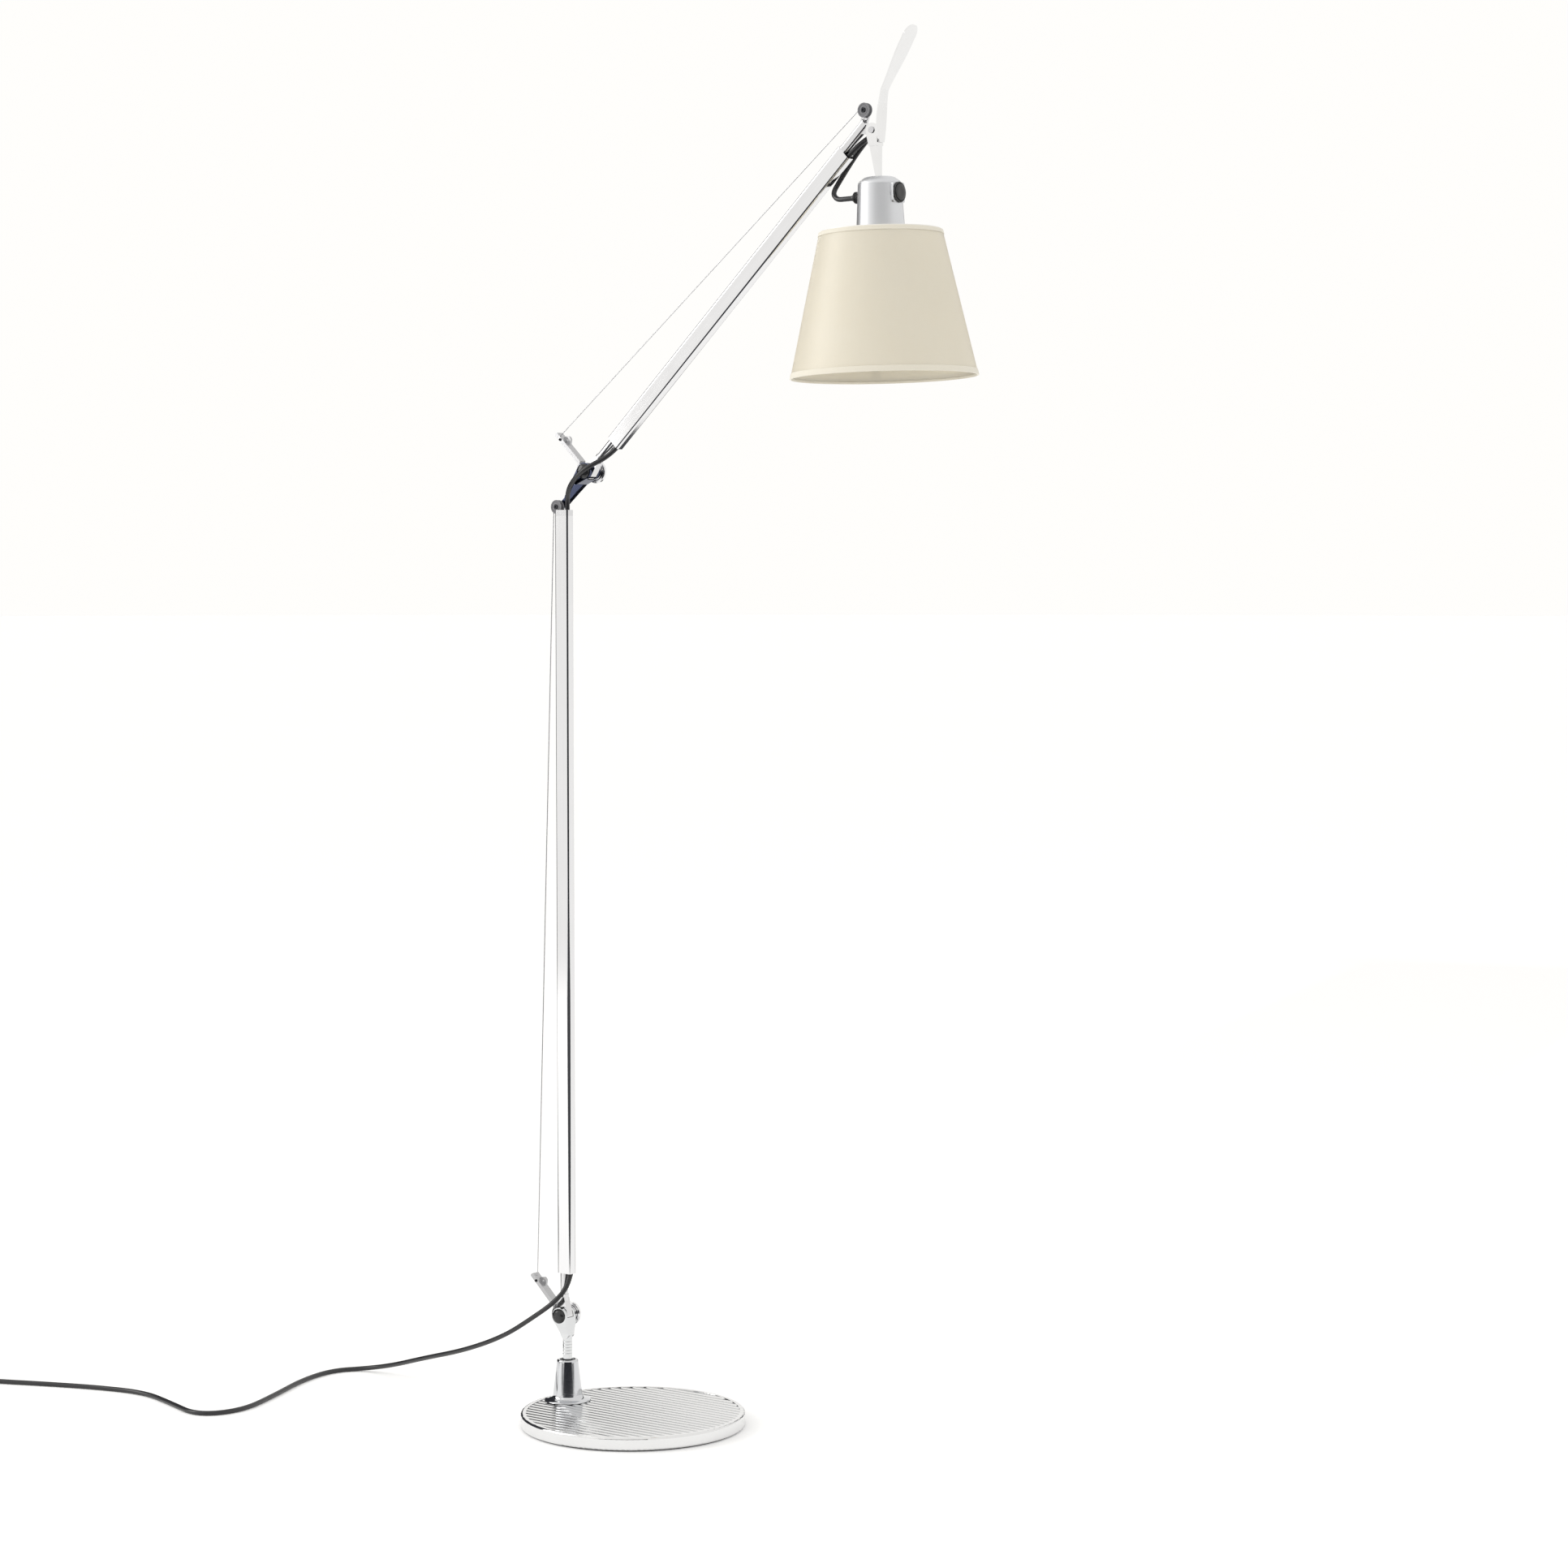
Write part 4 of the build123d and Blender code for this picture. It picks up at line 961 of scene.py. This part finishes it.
@dataclass
class Pivot:
    """Black cap, washers and friction knob of one arm joint."""

    prefix: str
    link: Link
    cap_body: str
    knob_body: str
    cap_node: str
    knob_node: str
    seat: float = 8.45

    def build(self) -> None:
        """Turns the cap and the knob about the joint's axis."""
        axis = self.link.matrix() @ FAR_SIDE
        near = -self.seat
        cap = lathe(
            f"{self.prefix}_cap_domed",
            [
                (0.0, near - 3.95), (3.0, near - 3.8), (5.4, near - 3.2), (6.9, near - 2.2),
                (7.6, near - 1.0), (7.7, near), (5.1, near), (5.1, near - 2.0), (0.0, near - 2.0),
            ],
            axis,
            Finish.GLOSS,
            64,
        )
        riding(cap, self.cap_body, self.cap_node)
        knob = lathe(
            f"{self.prefix}_knob_turned",
            [
                (3.1, self.seat), (6.6, self.seat), (6.6, self.seat + 0.8), (8.4, self.seat + 0.8),
                (8.4, self.seat + 1.5), (10.2, self.seat + 1.5), (10.2, self.seat + 2.0),
                (11.6, self.seat + 2.2), (12.0, self.seat + 2.6), (12.0, self.seat + 4.9),
                (11.6, self.seat + 5.3), (10.6, self.seat + 5.5), (10.3, self.seat + 6.3),
                (7.4, self.seat + 6.4), (7.1, self.seat + 6.1), (4.4, self.seat + 6.1),
                (4.1, self.seat + 6.4), (3.1, self.seat + 6.4),
            ],
            axis,
            Finish.KNOB,
            96,
            0.15,
        )
        riding(knob, self.knob_body, self.knob_node)


@dataclass
class Pulley:
    """Grooved wheel at an arm's end."""

    prefix: str
    link: Link
    at: tuple[float, float]
    radius: float = 7.0
    half: float = 2.5

    def build(self) -> None:
        """Turns the wheel: dark rim, stepped grey face."""
        place = self.link.matrix(*self.at) @ FAR_SIDE
        face = [
            (1.6, -self.half + 0.5), (2.7, -self.half + 0.5), (2.9, -self.half + 0.15),
            (4.1, -self.half + 0.15), (4.3, -self.half + 0.45), (5.3, -self.half + 0.45),
            (5.5, -self.half + 0.05), (6.6, -self.half), (self.radius, -self.half + 0.35),
            (self.radius, -1.5), (4.3, -0.55), (4.3, 0.55), (self.radius, 1.5), (self.radius, self.half),
            (1.6, self.half),
        ]
        wheel = lathe(f"{self.prefix}_pulley_wheel", face, place, Finish.NYLON, 64)
        pulley = f"{self.prefix}_pulley"
        riding(wheel, pulley, pulley)


@dataclass
class Arms:
    """Stem, the two tubes and the small metal parts at their ends."""

    def build(self) -> None:
        """Dresses the tubes and castings, and turns caps, knobs and pulleys."""
        dress(Finish.STEM, "stem_fork")
        dress(Finish.ARM, "lower_tube")
        dress(Finish.SLOPING_ARM, "upper_tube")
        dress(Finish.CAST, "lower_lever", "upper_lever")
        dress(Finish.BRIGHT_CAST, "lower_foot", "upper_foot", "lower_head", "upper_tip")
        # The elbow link's dark colour is a painted reflection.
        dress(Finish.LINK, "elbow_link")
        dress(
            Finish.BLACK_STEEL,
            "lower_set_screw", "upper_set_screw", "lower_pulley_screw", "upper_pulley_screw",
        )
        dress(Finish.STEEL, "lower_pivot_bolt", "elbow_bolt")
        dress(Finish.FIBRE, "lower_washers", "elbow_washers")
        dress(Finish.SPRING, "lower_spring", "upper_spring")
        Pivot("lower", LOWER, "stem", "lower_knob", "lower_pivot_cap", "lower_knob").build()
        Pivot("elbow", ELBOW, "lower_arm", "elbow_knob", "elbow_cap", "elbow_knob").build()
        Pulley("lower", LOWER, LOWER_WHEEL).build()
        Pulley("upper", UPPER, UPPER_WHEEL).build()


@dataclass
class Head:
    """Hanger, handle, lampholder, bulb and shade."""

    axis_across: float = 4.5
    switch_level: float = -61.0
    cord_level: float = -62.0
    top: float = -97.0
    bottom: float = -234.5
    top_radius: float = 59.0
    bottom_radius: float = 90.0
    seam_turn: float = 130.0

    @property
    def place(self) -> Matrix:
        """The head's upright axis through the pivot's height."""
        return HEAD.matrix(self.axis_across)

    def lampholder(self) -> None:
        """Dresses the holder's cap and turns the bezel, the button and the cord's gland."""
        dress(Finish.HOLDER, "lampholder_cap")
        dress(Finish.STRIP, "head_hanger", "head_handle")
        dress(Finish.STEEL, "head_pin")
        dress(Finish.SOCKET, "lamp_socket", "shade_nut")
        dress(Finish.BRASS, "screw_shell")
        dress(Finish.BULB_METAL, "bulb_cap")
        dress(Finish.RING, "shade_ring")
        outward = HEAD.matrix(self.axis_across, self.switch_level) @ FORWARD
        bezel = lathe(
            "switch_bezel_rounded",
            [
                (0.0, 11.0), (8.5, 11.0), (8.5, 22.15), (9.9, 22.15), (9.95, 22.9), (9.7, 23.4),
                (9.2, 23.65), (8.6, 23.6), (8.2, 23.2), (8.1, 22.6), (8.1, 14.5), (0.0, 14.5),
            ],
            outward,
            Finish.GLOSS,
            64,
        )
        riding(bezel, "head", "switch_bezel")
        button = lathe(
            "switch_button_domed",
            [(0.0, 17.0), (8.0, 17.0), (8.0, 23.7), (7.7, 24.3), (7.0, 24.65), (4.0, 24.5), (0.0, 24.4)],
            outward,
            Finish.GLOSS,
            64,
        )
        riding(button, "switch_button", "switch_button")
        inward = HEAD.matrix(self.axis_across, self.cord_level) @ FORWARD
        gland = lathe(
            "cord_gland_ribbed",
            [
                (0.0, -16.0), (3.2, -16.0), (3.2, -21.75), (4.4, -21.75), (4.5, -23.0), (4.1, -23.4),
                (4.1, -24.2), (4.6, -24.6), (4.7, -26.0), (5.5, -26.3), (5.8, -26.9), (5.7, -28.2),
                (5.1, -28.8), (3.6, -29.3), (3.1, -31.45), (0.0, -31.45),
            ],
            inward,
            Finish.GLOSS,
            56,
        )
        riding(gland, "head", "cord_grommet")

    def bulb(self) -> None:
        """Turns the opal bulb."""
        outline = [(0.0, -101.0), (12.0, -101.0)]
        outer = [
            (12.9, -100.3), (12.9, -106.0), (13.4, -110.0), (15.0, -115.0), (18.2, -120.5),
            (22.4, -127.0), (26.4, -134.0), (29.0, -141.0), (30.1, -148.0),
        ]
        crown = [
            (30.15 * math.cos(math.radians(a)), -152.3 - 30.15 * math.sin(math.radians(a)))
            for a in range(0, 90, 6)
        ]
        piece = lathe(
            "bulb_glass_opal", outline + outer + crown + [(0.0, -182.45)], self.place, Finish.OPAL, 96
        )
        riding(piece, "head", "bulb_glass")

    def shade(self) -> None:
        """Turns the parchment shade, its lap seam and the two bindings."""
        skin = lathe(
            "shade_skin",
            [
                (self.top_radius, self.top), (self.bottom_radius, self.bottom),
                (self.bottom_radius - 0.9, self.bottom), (self.top_radius - 0.9, self.top),
            ],
            self.place,
            Finish.SHADE,
            192,
        )
        riding(skin, "head", "shade")
        flare = self.bottom_radius - self.top_radius
        drop = self.top - self.bottom
        slope = flare / drop
        bindings = bmesh.new()
        foot_edge = (self.bottom, self.bottom_radius, 5.0)
        top_edge = (self.top, self.top_radius, -3.4)
        for level, radius, rise in (foot_edge, top_edge):
            lift = 0.55 if rise > 0 else -0.55
            section = [
                (radius - 1.2, level - lift), (radius + 0.2, level - lift),
                (radius + 0.6, level - lift * 0.4), (radius + 0.62 - rise * slope, level + rise),
                (radius + 0.08 - rise * slope, level + rise), (radius + 0.04, level),
                (radius - 0.94, level),
                (radius - 0.94 - abs(rise) * 0.3 * math.copysign(slope, rise), level + rise * 0.3),
                (radius - 1.3 - abs(rise) * 0.3 * math.copysign(slope, rise), level + rise * 0.3),
            ]
            ring = lathe("binding", section, self.place, Finish.TAPE, 192)
            bindings.from_mesh(ring.data)
            bpy.data.objects.remove(ring)
        tape = keep_mesh("shade_binding_tape", bindings, Finish.TAPE)
        riding(tape, "head", "shade_binding")
        seam = bmesh.new()
        length = math.hypot(flare, drop)
        middle = ((self.top_radius + self.bottom_radius) / 2 + 0.12, (self.top + self.bottom) / 2)
        lean = Matrix.Rotation(math.atan2(flare, drop), 4, "Y")
        place = (
            self.place
            @ Matrix.Rotation(math.radians(self.seam_turn), 4, "Z")
            @ Matrix.Translation((middle[0] * MM, 0.0, middle[1] * MM))
            @ lean.inverted()
        )
        block(seam, (0.5, 9.0, length - 9.0), place)
        lap = keep_mesh("shade_lap_seam", seam, Finish.SHADE)
        riding(softened(lap, 0.15, 1), "head")

    def build(self) -> None:
        """Builds the whole head."""
        self.lampholder()
        self.bulb()
        self.shade()


@dataclass
class Leads:
    """The black lead, its plug, and the loops at the elbow and the head."""

    radius: float = 2.5
    coil_centre: tuple[float, float] = (-709.0, -308.0)
    coil_ring: float = 30.0
    coil_bundle: float = 4.25
    coil_strands: int = 5
    coil_laps: int = 4
    coil_in: float = 111.1
    coil_out: float = 126.5
    per_turn: int = 18
    plug_axis: float = 6.85
    tail: float = 40.0
    stand: tuple[tuple[float, float, float], ...] = (
        (-82.9, 0, 147.1), (-83.5, -3, 134), (-93, -13.5, 118), (-118, -17, 100), (-160, -17, 74),
        (-222, -9, 50), (-292, 5, 30), (-350, 19, 12), (-392, 22, 2.5), (-415, -8, 2.5),
    )
    ground: tuple[tuple[float, float, float], ...] = (
        (-408, -62, 2.5), (-382, -130, 2.5), (-360, -200, 2.5), (-384, -242, 2.5), (-440, -222, 2.5),
        (-500, -203, 2.5), (-560, -216, 2.5), (-622, -240, 2.5), (-672, -262, 2.5),
    )
    elbow: tuple[tuple[float, float, float], ...] = (
        (-82.9, 0, 929.1), (-82.6, -1, 943), (-75, -8, 957), (-56, -16.5, 970), (-41, -15, 979),
        (-26.7, -2, 988.8), (-16.5, 0, 998.4),
    )

    def coil(self) -> list[Vector]:
        """Control points of the coil's laps, each strand a diameter from the next."""
        sweep = 360.0 * self.coil_laps + self.coil_out - self.coil_in
        count = round(sweep / 360.0 * self.per_turn)
        step = 360.0 / self.coil_strands
        first = -step * 0.75
        points = []
        for index in range(count + 1):
            turned = sweep * index / count
            phase = math.radians(first - step * turned / 360.0)
            angle = math.radians(self.coil_in + turned)
            radius = self.coil_ring + self.coil_bundle * math.cos(phase)
            height = self.radius + self.coil_bundle * (1.0 + math.sin(phase))
            points.append(
                Vector(
                    (
                        self.coil_centre[0] + radius * math.cos(angle),
                        self.coil_centre[1] + radius * math.sin(angle),
                        height,
                    )
                )
                * MM
            )
        return points

    def free_lead(self) -> None:
        """Lays the lead from the lower tube, along the floor and into its coil, and its plug."""
        heading = Vector(
            (-math.sin(math.radians(self.coil_out)), math.cos(math.radians(self.coil_out)), 0.0)
        )
        laps = self.coil()
        end = laps[-1] + heading * self.tail * MM
        end.z = self.plug_axis * MM
        before = laps[-1] + heading * self.tail * 0.45 * MM
        before.z = (laps[-1].z + end.z) / 2
        level = end - heading * self.tail * 0.25 * MM
        route = in_metres(self.stand) + in_metres(self.ground) + laps + [before, level, end]
        line = smooth_line(route)
        first = nearest(line, Vector((-96.0, -14.0, 114.5)) * MM)
        second = nearest(line[: len(line) // 2], Vector((-411.5, -30.0, 2.5)) * MM)
        parts = (
            ("lead_at_tube", line[: first + 1], "object"),
            ("lead_standing", line[first : second + 1], "object"),
            ("lead_on_floor", line[second:], "plug"),
        )
        tubes = [(tube(name, path, Finish.CORD, self.radius), path, far) for name, path, far in parts]
        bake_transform(tubes[0][0])
        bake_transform(tubes[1][0])
        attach(tubes[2][0], "base")
        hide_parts("cord_stand")
        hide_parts("cord_floor", "cord_coil")
        relief = self.relief("lead_tube_relief", line, 22.0, 3.1)
        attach(relief, "lower_arm")
        plug_relief = self.relief("plug_relief", list(reversed(line)), 24.0, 3.9)
        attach(plug_relief, "base")
        for made, path, far in tubes:
            with_pieces = []
            if far == "plug":
                with_pieces = [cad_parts["plug_pins"], self.plug(end, heading), plug_relief]
            run_length(path)
            2 * self.radius * MM
            "coiled" if far == "plug" else "loose"
            LOG.info("laid %s, %.3f m", made.name, run_length(path))
        dress(Finish.PIN, "plug_pins")

    def relief(self, name: str, line: Sequence[Vector], length: float, thick: float) -> bpy.types.Object:
        """Tapered ribbed sleeve along the first stretch of a line.

        Args:
            name: the piece's name.
            line: the lead's points from the sleeve's thick end.
            length: its length in mm.
            thick: its radius at the thick end in mm.

        Returns:
            The sleeve.
        """
        path = [line[0]]
        gone = 0.0
        for here, there in zip(line, line[1:]):
            stretch = (there - here).length
            pieces = max(1, round(stretch / (0.6 * MM)))
            for part in range(1, pieces + 1):
                if gone + stretch * part / pieces > length * MM:
                    break
                path.append(here.lerp(there, part / pieces))
            gone += stretch
            if gone > length * MM:
                break
        count = len(path) - 1
        radii = []
        for index in range(count + 1):
            share = index / count
            body = thick + (self.radius + 0.15 - thick) * share
            rib = 0.0 if share < 0.12 or share > 0.93 else 0.12 * thick * (index % 4 < 2) * (1.0 - share)
            radii.append((body - rib) / thick)
        sleeve = tube(name, path, Finish.PLUG, thick, 3, radii)
        LOG.info("made %s", name)
        return sleeve

    def plug(self, start: Vector, heading: Vector) -> bpy.types.Object:
        """Two-pin plug with a waisted, rounded body."""
        side = Vector((heading.y, -heading.x, 0.0))
        place = Matrix.Translation(start)
        place = place @ Matrix((side, Vector((0.0, 0.0, 1.0)), heading)).transposed().to_4x4()
        shape = bmesh.new()
        half = self.plug_axis
        block(shape, (15.0, 2 * half, 0.1), place @ Matrix.Translation((0, 0, 0.05 * MM)), 5.8, 8)
        face = max(shape.faces, key=lambda f: f.calc_center_median().dot(heading))
        for width, reach in ((19.0, 5.0), (23.4, 6.0), (26.0, 6.0), (26.0, 14.0), (24.2, 4.0), (23.0, 0.9)):
            grown = bmesh.ops.extrude_face_region(shape, geom=[face])
            face = next(g for g in grown["geom"] if isinstance(g, bmesh.types.BMFace))
            centre = face.calc_center_median()
            now = max(abs((v.co - centre).dot(side)) for v in face.verts) * 2 / MM
            for vertex in face.verts:
                offset = vertex.co - centre
                vertex.co = vertex.co + side * offset.dot(side) * (width / now - 1.0) + heading * reach * MM
        bmesh.ops.remove_doubles(shape, verts=shape.verts, dist=1e-7)
        bmesh.ops.recalc_face_normals(shape, faces=shape.faces)
        piece = keep_mesh("plug_moulded", shape, Finish.PLUG, 40.0)
        return riding(softened(piece, 0.5), "base", "plug_body")

    def loops(self) -> None:
        """Lays the two short loops that cross the elbow and the head's pivot."""
        nose = HEAD.point(4.5 - 31.5, 0.0, -62.0)
        before = HEAD.point(4.5 - 41.5, 0.0, -62.0)
        head = [
            UPPER.point(*p)
            for p in (
                (8.7, 0, 439), (9.1, 0.6, 450), (10.3, 4.4, 463), (5.5, 14.2, 461), (6.5, 12.8, 444),
                (10.5, 9.5, 427), (14, 7.5, 411.5),
            )
        ]
        head += in_metres([(247.2, 4.6, 1236.4), (254.5, 1.6, 1229.6)]) + [before, nose]
        for name, route, bodies, node, ends in (
            ("elbow_loop", in_metres(self.elbow), ("lower_arm", "upper_arm"), "cord_elbow", (0.1, 0.9)),
            ("head_loop", head, ("upper_arm", "head"), "cord_head", (0.45, 1.0)),
        ):
            line = smooth_line(route)
            loop = tube(name, line, Finish.CORD, self.radius)
            count = len(line) - 1
            line[round(ends[0] * count)]
            line[round(ends[1] * count)]
            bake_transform(loop)
            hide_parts(node)
            run_length(line)
            2 * self.radius * MM
            LOG.info("laid %s, %.3f m", name, run_length(line))

    def build(self) -> None:
        """Lays every lead."""
        self.free_lead()
        self.loops()


@dataclass
class BalanceWires:
    """Thin wires from the levers over the pulleys to the springs.

    They are straight at rest. The upper one bows near its lever when the elbow is far from rest.
    """

    radius: float = 0.5
    hold: float = 52.0
    lever: float = 136.0
    beside: float = 2.6
    wrap: float = 4.75
    core: float = 0.65
    stops: tuple[float, ...] = (0.0, 0.012, 0.03, 0.06, 0.12, 0.25, 0.5, 1.0)

    def run(
        self, link: Link, wheel: tuple[float, float], spring: float
    ) -> tuple[Vector, Vector, list[Vector]]:
        """The wire's line.

        Args:
            link: the arm's link.
            wheel: the pulley's centre across and along it, in mm.
            spring: the spring's top along it, in mm.

        Returns:
            The hold on the lever, the touch on the pulley, and the points from there to the spring.
        """
        angle = math.radians(self.lever)
        lean = math.radians(link.lean)
        upright = (
            self.hold * math.cos(angle) + self.beside * math.sin(angle),
            self.hold * math.sin(angle) - self.beside * math.cos(angle),
        )
        held = (
            upright[0] * math.cos(lean) - upright[1] * math.sin(lean),
            upright[0] * math.sin(lean) + upright[1] * math.cos(lean),
        )
        touches = []
        for start, sign in ((held, 1.0), ((self.core, spring), -1.0)):
            dx, dz = wheel[0] - start[0], wheel[1] - start[1]
            heading = math.atan2(dz, dx) + sign * math.asin(self.wrap / math.hypot(dx, dz))
            touches.append(heading + sign * math.pi / 2)
        arc = [
            link.point(wheel[0] + self.wrap * math.cos(a), 0.0, wheel[1] + self.wrap * math.sin(a))
            for a in (touches[0] + (touches[1] - touches[0]) * s / 12 for s in range(13))
        ]
        return link.point(held[0], 0.0, held[1]), arc[0], arc + [link.point(self.core, 0.0, spring)]

    def weight(self, share: float, start: Vector, end: Vector, pivot: Vector) -> float:
        """How far a point of the straight run follows the arm, so that it bends as little as it can."""
        way = (end - start).normalized()
        near, far = way.dot(start - pivot), way.dot(end - pivot)
        here = near + share * (far - near)
        if here <= 0.0:
            return min(1.0, share * 6.0)
        return min(1.0, max(0.0, share * far / here))

    def build_one(
        self, name: str, link: Link, wheel: tuple[float, float], spring: float, bodies: Sequence[str]
    ) -> None:
        """Makes one wire: short straight stretches up to the pulley, and the rest on the arm."""
        start, touch, rest = self.run(link, wheel, spring)
        pivot = link.point(0.0, 0.0, 0.0)
        spans = list(zip(self.stops, self.stops[1:]))
        for number, (low, high) in enumerate(spans):
            ends = [start.lerp(touch, low), start.lerp(touch, high)]
            stretch = tube(f"{name}_{number}", ends, Finish.WIRE, self.radius, 2)
            weights = [self.weight(s, start, touch, pivot) for s in (low, high)]
            shares = [0.5 - math.sin(math.asin(1 - 2 * w) / 3) for w in weights]
            if shares[1] - shares[0] < 1e-3:
                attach(stretch, bodies[1])
                continue
            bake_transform(stretch)
        over = tube(f"{name}_over_pulley", rest, Finish.WIRE, self.radius, 2)
        riding(over, bodies[1], name)

    def build(self) -> None:
        """Makes both wires."""
        self.build_one("lower_wire", LOWER, LOWER_WHEEL, 498.55, ("stem", "lower_arm"))
        self.build_one("upper_wire", UPPER, UPPER_WHEEL, 278.55, ("lower_arm", "upper_arm"))


def main() -> None:
    """Builds the scene in order: camera and leads first, then the lamp from the floor up."""
    logging.basicConfig(level=logging.INFO, format="%(name)s: %(message)s")
    studio = Studio()
    studio.camera()
    Leads().build()
    studio.floor()
    studio.light()
    Base().build()
    Arms().build()
    BalanceWires().build()
    Head().build()
    bpy.context.view_layer.update()


if __name__ == "__main__":
    main()
